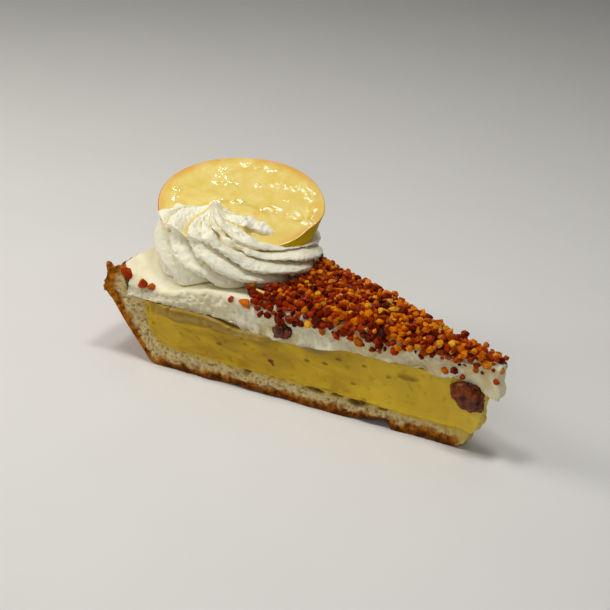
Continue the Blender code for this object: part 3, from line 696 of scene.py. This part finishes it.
def petal_wave(t):
    """0 in the groove before a petal and 1 on its roll; t goes from that groove, 0, to the next edge, 1."""
    up = 0.88 * np.sin(np.minimum(t / PETAL_STEP, 1) * math.pi / 2)
    along = np.clip((t - PETAL_STEP) / (1 - PETAL_STEP), 0, 1)
    roll = 1 - 0.12 * np.clip(1 - along / 0.3, 0, 1) ** 2 - np.clip((along - 0.3) / 0.7, 0, 1) ** 2.2
    return np.where(t < PETAL_STEP, up, roll)


def petal_angle(petal, climb):
    """Which way a point lies from the rosette's middle: petals splay at the foot and curl into the peak."""
    edges = np.array(PETAL_EDGES, float)
    spare = PETALS - len(edges)
    back = [edges[-1] + (edges[0] + 360 - edges[-1]) * (n + 1) / (spare + 1) for n in range(spare)]
    edges = np.concatenate((edges, back, edges[:1] + 360))
    knots = np.concatenate((2 * edges[:, :1] - edges[:, 1:2], edges, 2 * edges[:, -1:] - edges[:, -2:-1]), 1)
    steps = edges.shape[1] - 1
    step = np.minimum((climb * steps).astype(int), steps - 1)
    whole = np.minimum(petal.astype(int), PETALS - 1)
    before, after = (
        curve(*(knots[edge, step + n] for n in range(4)), climb * steps - step) for edge in (whole, whole + 1)
    )
    share = petal - whole
    return np.radians(before * (1 - share) + after * share)


def rosette_profile(steps):
    """Shares of the rosette's radius and height from foot to peak, evenly spaced along its surface."""
    climb = np.linspace(0, 1, 4000)
    power = 2 / ROSETTE_SQUARENESS
    out = np.clip(np.cos(climb * math.pi / 2), 0, 1) ** power
    up = np.sin(climb * math.pi / 2) ** power
    strides = np.hypot(np.diff(out, prepend=out[0]) * ROSETTE_RADIUS, np.diff(up, prepend=0) * ROSETTE_HEIGHT)
    length = np.cumsum(strides)
    even = np.interp(np.linspace(0, length[-1], steps + 1)[:-1], length, climb)
    return even, np.interp(even, climb, out), np.interp(even, climb, up)


def make_rosette(material):
    """The piped swirl of cream: steep sides and a low top, whose petals turn as they rise to the peak."""
    around = PETALS * PETAL_POINTS
    climb, out, up = (values[:, None] for values in rosette_profile(ROSETTE_RINGS))
    petal = (np.arange(around) / PETAL_POINTS)[None, :] + 0 * climb
    climb = climb + 0 * petal
    crest = petal_wave((petal + PETAL_STEP) % 1)
    flat = smooth(climb, 0.35, 0.75)
    angle = petal_angle(petal, climb) - PETAL_LEAN * crest**2 * (1 - 0.6 * flat)
    edges_end = EDGES_END + [SPARE_EDGE_END] * (PETALS - len(EDGES_END)) + EDGES_END[:1]
    end = np.interp(petal, np.arange(PETALS + 1), edges_end)
    groove = PETAL_DEPTH * (1 - crest) * fade(climb, end - 0.2, end)
    radius = (ROSETTE_FOOT + (ROSETTE_RADIUS - ROSETTE_FOOT) * smooth(up, 0, 0.45)) * out
    radius = radius - groove * (1 - flat) * smooth(out, 0, 0.5)
    around_centre = np.stack((np.cos(angle), np.sin(angle), 0 * angle), -1) * radius[:, :, None]
    spots = ROSETTE_CENTRE + ROSETTE_PEAK * flat[:, :, None] + around_centre
    foot = rosette_foot(spots.reshape(-1, 3)).reshape(radius.shape)
    ahead = spots[:, :, 0] - ROSETTE_CENTRE[0]
    pressed = smooth(ahead, -4, 16) + 0.9 * smooth(ahead, 13, 23)
    top = CREAM_TOP + ROSETTE_HEIGHT - PRESSED_BY_APPLE * pressed
    spots[:, :, 2] = foot + (top - foot) * up - 0.7 * groove * flat
    sole = [ROSETTE_CENTRE + (spots[0] - ROSETTE_CENTRE) * shrink for shrink in np.linspace(0.1, 0.96, 9)]
    for ring in sole:
        ring[:, 2] = rosette_foot(ring)
    points, quads, ends = body_of_rings(np.concatenate((sole, spots)))

    def over_all(values):
        """Values for every point, 0 on the sole and at both ends."""
        return np.concatenate((np.zeros(len(sole) * around), (values + 0 * radius).ravel(), (0, 0)))

    at_edge = over_all(hump((petal + 0.5) % 1, 0.48, 0.56, 0.08) * (1 - 0.6 * flat))
    serrated = bumps(points, (0.5, 1.9, 51.0), (0.3, 0.9, 52.0))
    lumps = bumps(points, (0.1, 4.5, 53.0), (0.13, 1.7, 54.0), (0.12, 0.85, 60.0))
    holes = 0.28 * pits(points, 1.4, 55.0, 0.5, 0.85) + 0.25 * pits(points, 0.9, 56.0, 0.5, 0.85)
    torn = over_all(smooth(climb, 0.55, 0.75)) * smooth(points[:, 0], -46, -36)
    peaks = 1.3 * uneven(points * (0.3, 1, 1), 5.5, 57.0) + 0.5 * uneven(points * (0.6, 1, 1), 2.4, 58.0)
    relief = serrated * at_edge + lumps - holes + peaks * torn
    points = raised(points, quads, relief * over_all(smooth(up, 0, 0.1)))
    away = np.hypot(*(points - ROSETTE_CENTRE - ROSETTE_PEAK)[:, :2].T)
    tuft = (3.0 + 0.9 * uneven(points, 2.6, 59.0)) * np.exp(-((away / 3.8) ** 2))
    points[:, 2] += (tuft - 2.2 * np.exp(-((away / 10) ** 2))) * over_all(smooth(climb, 0.5, 0.9))
    # Painted shade: the groove mark tints the cream warmer and yellower down in the grooves between the
    # petals.
    marks = {"groove": np.clip(over_all(smooth(1 - crest, 0.2, 1)), 0, 1)}
    faces = quads.tolist() + ends.tolist()
    return make_piece("cream_rosette", points, faces, material, "rosette", marks)


# --- Apple slice ---


def apple_matrix():
    """Where the apple slice lies: X along its width, Y down its face and Z out of its face."""
    out = Vector((
        math.sin(APPLE_FACES) * math.cos(APPLE_LEAN),
        -math.cos(APPLE_FACES) * math.cos(APPLE_LEAN),
        math.sin(APPLE_LEAN),
    ))
    along = Vector((math.cos(APPLE_FACES), math.sin(APPLE_FACES), 0))
    turn = Matrix((along, out.cross(along), out)).transposed().to_4x4()
    return Matrix.Translation(APPLE_CENTRE) @ turn


def apple_profile():
    """From the middle of the back face round to that of the front: shares of the radius and the depth."""
    bevel = 0.02
    turns = np.linspace(0, math.pi / 2, 7)
    back = [(s, 1.0) for s in np.linspace(0.04, 1 - bevel, 30)]
    round_back = [(1 - bevel * (1 - math.sin(a)), 1 - 0.1 * (1 - math.cos(a))) for a in turns[1:]]
    rind = [(1.0, d) for d in np.linspace(0.88, 0.1, 16)]
    round_front = [(1 - bevel * (1 - math.cos(a)), 0.08 * (1 - math.sin(a))) for a in turns]
    front = [(s, 0.0) for s in np.linspace(1 - bevel, 0.008, 90)[1:]]
    return np.array(back + round_back + rind + round_front + front)


GLAZE_LUMPS = [  # where the glaze has set unevenly on the apple's face: place and half sizes
    (-7.8, 13.6, 3.4, 3.6), (-6.5, 9.8, 5.0, 1.8), (3.0, 18.0, 6.0, 1.8), (9.8, 17.6, 3.6, 3.0),
    (13.4, 9.6, 4.2, 1.5), (20.6, 9.2, 3.8, 2.6), (24.0, 6.2, 2.2, 3.4), (19.6, -4.3, 3.6, 1.2),
    (24.2, -2.4, 1.8, 4.2), (10.4, -0.8, 3.8, 2.0), (-1.2, 1.4, 2.8, 1.4), (-8.4, 0.9, 3.0, 1.8),
    (-24.0, 4.6, 1.5, 4.6), (5.0, 9.0, 1.2, 1.2), (15.0, 3.0, 1.5, 1.0),
]
GLAZE_BEAD = [  # a thin bead of glaze near its lower corner
    (17.0, -2.6), (18.8, -2.5), (20.1, -1.5), (21.3, -3.1), (22.5, -6.0), (23.8, -3.3), (24.7, -0.7),
    (26.0, 0.8),
]


def glaze_height(points):
    """How thick the glaze lies: in wandering ridges on its lumps, along its bead, nearly flat elsewhere."""
    lumpy = np.zeros(len(points))
    for x, y, wide, high in GLAZE_LUMPS:
        away = np.hypot((points[:, 0] - x) / wide, (points[:, 1] - y) / high)
        lumpy = np.maximum(lumpy, 1 - smooth(away, 0.6, 1.15))
    ridges, finer = ((1 - np.abs(uneven(points, *size))) ** 3 for size in ((3.4, 61.0), (1.9, 68.0)))
    glaze = lumpy * (0.2 * ridges + 0.11 * finer + 0.03 * uneven(points, 1.1, 62.0))
    glaze += 0.035 * uneven(points, 9, 63.0) + 0.006 * uneven(points, 2, 64.0)
    from_bead = np.inf
    for start, end in zip(GLAZE_BEAD[:-1], GLAZE_BEAD[1:]):
        line, reach = np.subtract(end, start), points[:, :2] - start
        share = np.clip((reach @ line) / (line @ line), 0, 1)
        from_bead = np.minimum(from_bead, np.linalg.norm(reach - share[:, None] * line, axis=1))
    return glaze + 0.2 * np.exp(-((from_bead / 0.6) ** 2))


def make_apple(material):
    """The apple slice: a flat glazed face, and skin round its edge."""
    profile = apple_profile()
    out, deep = profile[:, 0][:, None], profile[:, 1][:, None]
    angle = (np.arange(APPLE_POINTS) / APPLE_POINTS * math.tau)[None, :] + 0 * out
    bulge = 1 - 0.06 * deep
    bulge = bulge - APPLE_TRIM * (1 - 0.95 * smooth(deep, 0, 0.8)) * hump(np.degrees(angle), 305, 330, 32)
    tall = APPLE_DEPTH / 2 * bulge * (1 + 0.05 * np.cos(angle))
    across, up = (np.copysign(np.abs(way) ** 0.94, way) for way in (np.cos(angle), np.sin(angle)))
    x = across * APPLE_WIDTH / 2 * bulge * out + deep * APPLE_SKEW
    rings = np.stack((x, up * tall * out, -deep * APPLE_THICKNESS + 0 * angle), -1)
    points, quads, ends = body_of_rings(rings)
    deeper = np.append((deep + 0 * angle).ravel(), (1, 0))
    outer = np.append((out + 0 * angle).ravel(), (0, 0))
    face = (deeper < 0.02) * fade(outer, 0.93, 0.985)
    points[:, 2] += glaze_height(points) * face
    points = raised(points, quads, 0.1 * uneven(points, 6, 66.0) * (deeper > 0.1) * (deeper < 0.9))

    leaning = 0.75 * points[:, 0] / (APPLE_WIDTH / 2) - 0.65 * points[:, 1] / (APPLE_DEPTH / 2)
    arc = np.abs(np.hypot(points[:, 0] + 4, points[:, 1] + 21) - 22)
    marks = {
        "skin": smooth(outer, 0.982, 0.994) * fade(deeper, 0.93, 0.98),
        "blush": smooth(0.25 * uneven(points, 9, 67.0) - leaning, -0.45, 0.1),
        "core": 0.35 * face * fade(arc, 0.3, 1.1) * hump(points[:, 0], -14, 8, 4),
        "warm": 0.75 * smooth(outer, 0.84, 0.98) * (0.6 + 0.4 * uneven(points, 12, 65.0)),
    }
    matrix = np.array(apple_matrix())
    points = points @ matrix[:3, :3].T + matrix[:3, 3]
    faces = quads.tolist() + ends.tolist()
    return make_piece("apple_slice_glazed", points, faces, material, "apple_slice", marks)


# --- Brittle ---


def brittle_end(share):
    """The radius at which the brittle ends: at the rosette's foot, and short of it at the near cut."""
    reach = ROSETTE_FOOT + 0.2
    along = TIP_X - ROSETTE_CENTRE[0]
    ahead = along * np.cos(share * HALF_ANGLE) + ROSETTE_CENTRE[1] * np.sin(share * HALF_ANGLE)
    beside = along**2 + ROSETTE_CENTRE[1] ** 2 - ahead**2
    at_foot = ahead - np.sqrt(np.maximum(0, reach**2 - beside))
    return np.minimum(at_foot, BRITTLE_AT_CUT + 28 * (share + 1))


def brittle_place(along, share, lift):
    """Points lifted off the cream, along going from the tip to the foot of the rosette."""
    radius = BRITTLE_START + (brittle_end(np.clip(share, -1, 1)) - BRITTLE_START) * along
    side, height = draped(radius, share, lift)
    points = in_wedge(radius, side, height)
    points[..., 0] += nose(radius, height)
    return points


def make_bed(material):
    """The lowest of the brittle, too fine to see apart: a thin crust that the grains lie on."""
    grid, quads = box_surface(BED_CELLS)
    u, v, w = grid.T
    share = 1 - 2 * v
    ragged = 0.08 * uneven(np.stack((90 * u, 1000 * share, 0 * u), -1), 5, 6.0)
    share = share * (np.where(share < 0, 0.76, 0.92) + ragged)
    u = 0.08 + 0.92 * u
    on_cream = brittle_place(u, share, GAP)
    crust = 0.9 + 0.2 * uneven(on_cream, 4, 3.0) + 0.15 * uneven(on_cream, 1.9, 71.0)
    crust *= 0.3 + 0.7 * np.minimum(smooth(u, 0, 0.05), 1 - smooth(u, 0.93, 1))
    points = brittle_place(u, share, GAP + np.maximum(crust, 0.15) * w)
    marks = {"tone": 0.3 + 0.3 * uneven(on_cream, 3, 73.0)}
    return make_piece("brittle_bed", points, quads.tolist(), material, "brittle", marks)


def broken_shapes(draw, count, corners):
    """Shapes that a hammer leaves: hulls of a few points near a ball, each as its points and triangles."""
    shapes = []
    for _ in range(count):
        bm = bmesh.new()
        for _ in range(corners):
            spot = Vector([draw.gauss(0, 1) for _ in range(3)]).normalized()
            bm.verts.new(spot * draw.uniform(0.8, 1))
        bmesh.ops.convex_hull(bm, input=bm.verts)
        bmesh.ops.delete(bm, geom=[vert for vert in bm.verts if not vert.link_faces], context="VERTS")
        bm.verts.index_update()
        shapes.append((
            np.array([vert.co[:] for vert in bm.verts]),
            np.array([[vert.index for vert in face.verts] for face in bm.faces]),
        ))
        bm.free()
    return shapes


def grain(spot, size, stretch, tones, draw):
    """Where a broken piece lies, how large it is and how it is turned, and how light it is."""
    tone = draw.uniform(*tones)
    turn = Matrix.Rotation(draw.uniform(0, math.tau), 3, "Z")
    turn = turn @ Matrix.Rotation(draw.uniform(-0.9, 0.9), 3, "X")
    turn = turn @ Matrix.Rotation(draw.uniform(0, math.tau), 3, "Z")
    sizes = [size * s * draw.uniform(0.85, 1.1) for s in stretch]
    return np.array(spot), np.array(turn @ Matrix.Diagonal(sizes)), tone


def heap(name, grains, shapes, material, draw):
    """One mesh of many grains, each a turned and stretched copy of one of the shapes."""
    points, faces, tones, total = [], [], [], 0
    for spot, stretched, tone in grains:
        corners, triangles = draw.choice(shapes)
        points.append(corners @ stretched.T + spot)
        faces.append(triangles + total)
        tones.append(np.full(len(corners), tone))
        total += len(corners)
    points, faces, marks = np.concatenate(points), np.concatenate(faces), {"tone": np.concatenate(tones)}
    return make_piece(name, points, faces.tolist(), material, marks=marks, facets=True)


CHUNKY, SLIVER = (1, 0.88, 0.78), (1.5, 0.62, 0.42)
KINDS = {  # share of all grains, how they are stretched, and the range of their tone
    "dark": (0.44, CHUNKY, (0.0, 0.8)),
    "amber": (0.40, CHUNKY, (0.05, 1.0)),
    "nut": (0.09, CHUNKY, (0.1, 1.0)),
    "sliver": (0.018, SLIVER, (0.2, 1.0)),
    "burnt": (0.03, CHUNKY, (0.0, 0.9)),
}
LAYERS = [  # of the heap, from the cream up: half sizes, how high and how close the grains lie, and how many
    (1.5, 2.3, 0.9, 0.5, 3600), (1.1, 1.7, 1.1, 0.52, 2600), (1.5, 2.3, 2.2, 0.54, 2400),
    (1.0, 1.5, 2.2, 0.54, 1800), (1.2, 1.9, 3.2, 0.75, 500),
]
SPILT_GRAINS = 420
SPILL = [  # how low the grains reach on the near cut: radius and height
    (0, 30), (10, 31), (22, 31.3), (27, 30.6), (32, 29), (37, 27.6), (44, 28.3), (49, 30.2), (56, 30.6),
    (70, 30.6), (76, 31.4), (88, 32),
]
CRUMBS_ON_CUT = [  # single crumbs on the cream's near cut: kind, radius, height and size
    ("dark", 28.8, 33.6, 1.5), ("burnt", 36.6, 34.6, 1.9), ("burnt", 60, 33.4, 1.7), ("burnt", 41, 32, 1.5),
    ("dark", 7.5, 32.7, 1.2), ("dark", 3.2, 29.5, 1.2), ("amber", 12, 33.6, 1.3), ("dark", 17.1, 33.5, 1.3),
    ("amber", 20.2, 32.8, 1.3), ("amber", 26.9, 32.4, 1.5), ("dark", 31.7, 29.7, 1.3), ("dark", 37, 30.1, 1.4),
    ("amber", 44, 29.5, 1.4), ("dark", 47, 30.8, 1.2), ("dark", 72, 29.8, 1.3), ("burnt", 67, 30.4, 1.1),
    ("dark", 91.0, 33.3, 1.2), ("amber", 86.0, 33.4, 2.0), ("dark", 9.5, 27.4, 1.1), ("amber", 15, 27.6, 1.3),
    ("dark", 12.5, 28.8, 1.3), ("dark", 23, 30.2, 1.1), ("dark", 52, 29.8, 1.2), ("amber", 57, 30.2, 1.3),
]
CRUMB_SCALE = 1.35  # how much larger those crumbs are than the list says
NOSE_PILE = [  # grains heaped on the nose: kind, how far beyond the tip, side, height and size
    ("nut", 4.0, -0.6, 32.6, 1.9), ("nut", 1.1, 0.6, 35.9, 1.9), ("dark", -3.8, -0.8, 36.0, 2.1),
    ("dark", -1.3, -1.4, 33.8, 1.7), ("amber", -8.0, 0.4, 37.4, 2.1), ("dark", 2.2, -1.6, 32.6, 1.4),
    ("amber", -5.6, 1.2, 36.6, 1.8), ("dark", -1.6, 1.2, 35.6, 1.7), ("amber", 1.4, -1.2, 34.0, 1.3),
]
CRUMBS_BY_RIM = [  # kind, radius, how far in from the cut, height and size
    ("dark", 132.6, 1.6, 32.4, 3.2), ("dark", 125.8, 0.6, 30.4, 2.5), ("amber", 122.4, 0.8, 30.0, 2.2),
]
SEED = 12


def make_grains(materials):
    """Every loose grain of the brittle: the heap on the cream, what spilt down the cut, and the strays."""
    draw = random.Random(SEED)
    heaps = {kind: [] for kind in KINDS}
    taken, reaches = np.zeros((0, 3)), np.zeros(0)

    def drop(spot, size, spacing, amber=1.0):
        """Lets a grain fall there if there is room; amber is how much likelier the lighter kinds are."""
        nonlocal taken, reaches
        if len(taken) and (np.linalg.norm(taken - spot, axis=1) < spacing * (reaches + size)).any():
            return
        taken, reaches = np.concatenate((taken, spot[None])), np.append(reaches, size)
        weights = [row[0] * (1 if kind in ("dark", "burnt") else amber) for kind, row in KINDS.items()]
        kind = draw.choices(list(KINDS), weights)[0]
        heaps[kind].append(grain(spot, size, *KINDS[kind][1:], draw))

    for least, most, lift, spacing, tries in LAYERS:
        for _ in range(tries):
            size = draw.uniform(least, most)
            along, share = math.sqrt(draw.uniform(0.0001, 1.0)), draw.uniform(-1, 1)
            steep = float(smooth(abs(share), 0.72, 0.95))
            if lift > 2 and steep > 0.5 and along > 0.15:
                continue
            if along < 0.38 and draw.random() < 0.35 * smooth(-share, 0.75, 0.9):
                continue
            spot = brittle_place(along, share, lift * (1 - 0.6 * steep) + draw.uniform(-0.25, 0.4))
            if np.linalg.norm((spot - ROSETTE_CENTRE)[:2]) < ROSETTE_FOOT - 0.6 + 0.7 * size:
                continue
            drop(spot, size, spacing, 0.55 + 1.1 * (1 - along) + 0.5 * share)
    for _ in range(SPILT_GRAINS):
        radius, size = draw.uniform(6, 86), draw.uniform(0.8, 1.5)
        lowest = at(SPILL, radius)
        height = lowest + abs(draw.gauss(0, 0.5)) * max(0.4, 31.5 - lowest)
        drop(on_near_cut(radius, -0.3, height) + (nose(radius, height), 0, 0), size, 0.8)
    for kind, radius, height, size in CRUMBS_ON_CUT:
        spot = on_near_cut(radius, 0.3 * max(0, height - 31) - 0.9, height) + (nose(radius, height), 0, 0)
        heaps[kind].append(grain(spot, CRUMB_SCALE * size, *KINDS[kind][1:], draw))
    for kind, ahead, side, height, size in NOSE_PILE:
        heaps[kind].append(grain((TIP_X + ahead, side, height), size, CHUNKY, (0.3, 0.9), draw))
    for kind, radius, inset, height, size in CRUMBS_BY_RIM:
        heaps[kind].append(grain(on_near_cut(radius, inset, height), size, CHUNKY, (0.2, 0.9), draw))
    shapes = broken_shapes(draw, 30, 22)
    return [heap(f"brittle_{kind}", heaps[kind], shapes, materials[kind], draw) for kind in KINDS]


def on_near_cut(radius, inset, height):
    """A place beside the near cut, inset being how far inside it lies."""
    return in_wedge(radius, inset - half_width(radius), height)


# --- Raisins ---

RAISINS = {
    "raisin_tip": dict(
        centre=np.array((TIP_X - 4.8, -3.2, 20.8)),
        sizes=(6.3, 3.2, 5.0),
        turn=Matrix.Rotation(math.radians(24), 3, "Y") @ Matrix.Rotation(math.radians(8), 3, "Z"),
        wrinkled=1.0,
    ),
    "raisin_cut": dict(
        centre=on_near_cut(72, 1.0, 25.8),
        sizes=(4.8, 3.0, 3.3),
        turn=Matrix.Rotation(math.radians(-15), 3, "Y"),
        wrinkled=0.9,
    ),
}


def make_raisin(node, centre, sizes, turn, wrinkled, material):
    """A raisin: a squashed ball whose skin has drawn up into folds."""
    bm = bmesh.new()
    bmesh.ops.create_icosphere(bm, subdivisions=RAISIN_SPLITS, radius=1)
    ball = np.array([vert.co[:] for vert in bm.verts])
    faces = [[vert.index for vert in face.verts] for face in bm.faces]
    bm.free()
    coarse = 0.13 * uneven(ball, 0.55, 0.09 * centre[0])  # each raisin its own shape, by where it lies
    bent = ball + 0.25 * np.stack([uneven(ball, 0.8, seed) for seed in (81.0, 82.0, 83.0)], -1)
    wide, fine = ((1 - np.abs(uneven(bent, *size))) ** 3 for size in ((0.6, 84.0), (0.26, 85.0)))
    points = ball * (1.04 + (coarse - 0.1 * wide - 0.05 * fine) * wrinkled)[:, None] * sizes
    points = points @ np.array(turn).T + centre
    return make_piece(node + "_wrinkled", points, faces, material, node)


# --- Studio, in metres ---

VIEW_AZIMUTH, VIEW_ELEVATION, VIEW_ROLL = math.radians(37.03), math.radians(26.37), math.radians(3.97)
VIEW_DISTANCE = 440.6 * MM
LOOKED_AT = Vector((-15.78, 11.47, 20)) * MM
LENS, SENSOR = 71.65, 36  # mm


def place_camera():
    """A camera that looks down on the near cut from the tip's side."""
    back = Vector((
        math.sin(VIEW_AZIMUTH) * math.cos(VIEW_ELEVATION),
        -math.cos(VIEW_AZIMUTH) * math.cos(VIEW_ELEVATION),
        math.sin(VIEW_ELEVATION),
    ))
    right = Vector((math.cos(VIEW_AZIMUTH), math.sin(VIEW_AZIMUTH), 0))
    up = back.cross(right)
    rolled_right = right * math.cos(VIEW_ROLL) + up * math.sin(VIEW_ROLL)
    rolled_up = up * math.cos(VIEW_ROLL) - right * math.sin(VIEW_ROLL)
    camera = bpy.data.objects.new("camera", bpy.data.cameras.new("camera"))
    camera.data.lens = LENS
    camera.data.sensor_width = SENSOR
    camera.data.clip_start = 10 * MM
    bpy.context.scene.collection.objects.link(camera)
    pose = Matrix((rolled_right, rolled_up, back)).transposed().to_4x4()
    pose.translation = LOOKED_AT + back * VIEW_DISTANCE
    camera.matrix_world = pose
    bpy.context.scene.camera = camera


LIGHTS = {  # place, size, power in watts and tint; the two glints are small, for the wet shine of the glaze
    "soft_box_above": ((-0.24, 0.3, 0.6), 0.45, 0.3, "#FFFAF0"),
    "soft_box_left": ((-0.47, -0.24, 0.4), 0.25, 1.5, "#FFFCF4"),
    "soft_box_front": ((0.2, -0.65, 0.42), 0.6, 0.75, "#FFFDF8"),
    "glint_right": ((0.085, -0.02, 0.6), 0.1, 0.95, "#FFFFFF"),
    "glint_left": ((-0.1, -0.12, 0.6), 0.1, 0.85, "#FFFFFF"),
}


def area_light(name, place, size, power, tint):
    """A square soft box that looks at the slice."""
    lamp = bpy.data.lights.new(name, "AREA")
    lamp.size = size
    lamp.energy = power
    lamp.color = colour(tint)[:3]
    holder = bpy.data.objects.new(name, lamp)
    holder.location = place
    holder.rotation_euler = (Vector(place) - LOOKED_AT).to_track_quat("Z", "Y").to_euler()
    bpy.context.scene.collection.objects.link(holder)


def build_studio():
    """A plain pale floor under soft light."""
    bm = bmesh.new()
    bmesh.ops.create_grid(bm, x_segments=8, y_segments=8, size=1.2)
    mesh = bpy.data.meshes.new("floor")
    bm.to_mesh(mesh)
    bm.free()
    mesh.materials.append(studio_floor())
    floor = bpy.data.objects.new("floor", mesh)
    bpy.context.scene.collection.objects.link(floor)

    world = bpy.data.worlds.new("studio")
    bpy.context.scene.world = world
    world.use_nodes = True
    background = world.node_tree.nodes["Background"].inputs
    background["Color"].default_value = colour("#F4F4F2")
    background["Strength"].default_value = 0.13
    for name, settings in LIGHTS.items():
        area_light(name, *settings)
    bpy.context.scene.view_settings.view_transform = "Standard"


def build_slice():
    """Every piece of the slice, with its material."""
    make_shell(baked_dough())
    make_custard(baked_custard())
    make_cream(whipped_cream())
    make_rosette(piped_cream())
    make_apple(glazed_apple())
    caramel = broken_sugar("dark_caramel", "#600F00", "#B43C00", 0.28, 0.3)
    make_bed(caramel)
    make_grains({
        "dark": caramel,
        "amber": broken_sugar("amber_caramel", "#9C3400", "#E08000", 0.28, 0.4),
        "nut": broken_sugar("roasted_nut", "#B05A06", "#E8A828", 0.4, 0.2),
        "sliver": broken_sugar("pale_nut", "#C88A28", "#EFCB70", 0.5, 0.2),
        "burnt": broken_sugar("burnt_sugar", "#260802", "#5C1C08", 0.3, 0.0),
    })
    raisin_skin = moist_raisin()
    for node, form in RAISINS.items():
        make_raisin(node, material=raisin_skin, **form)


place_camera()
build_studio()
build_slice()
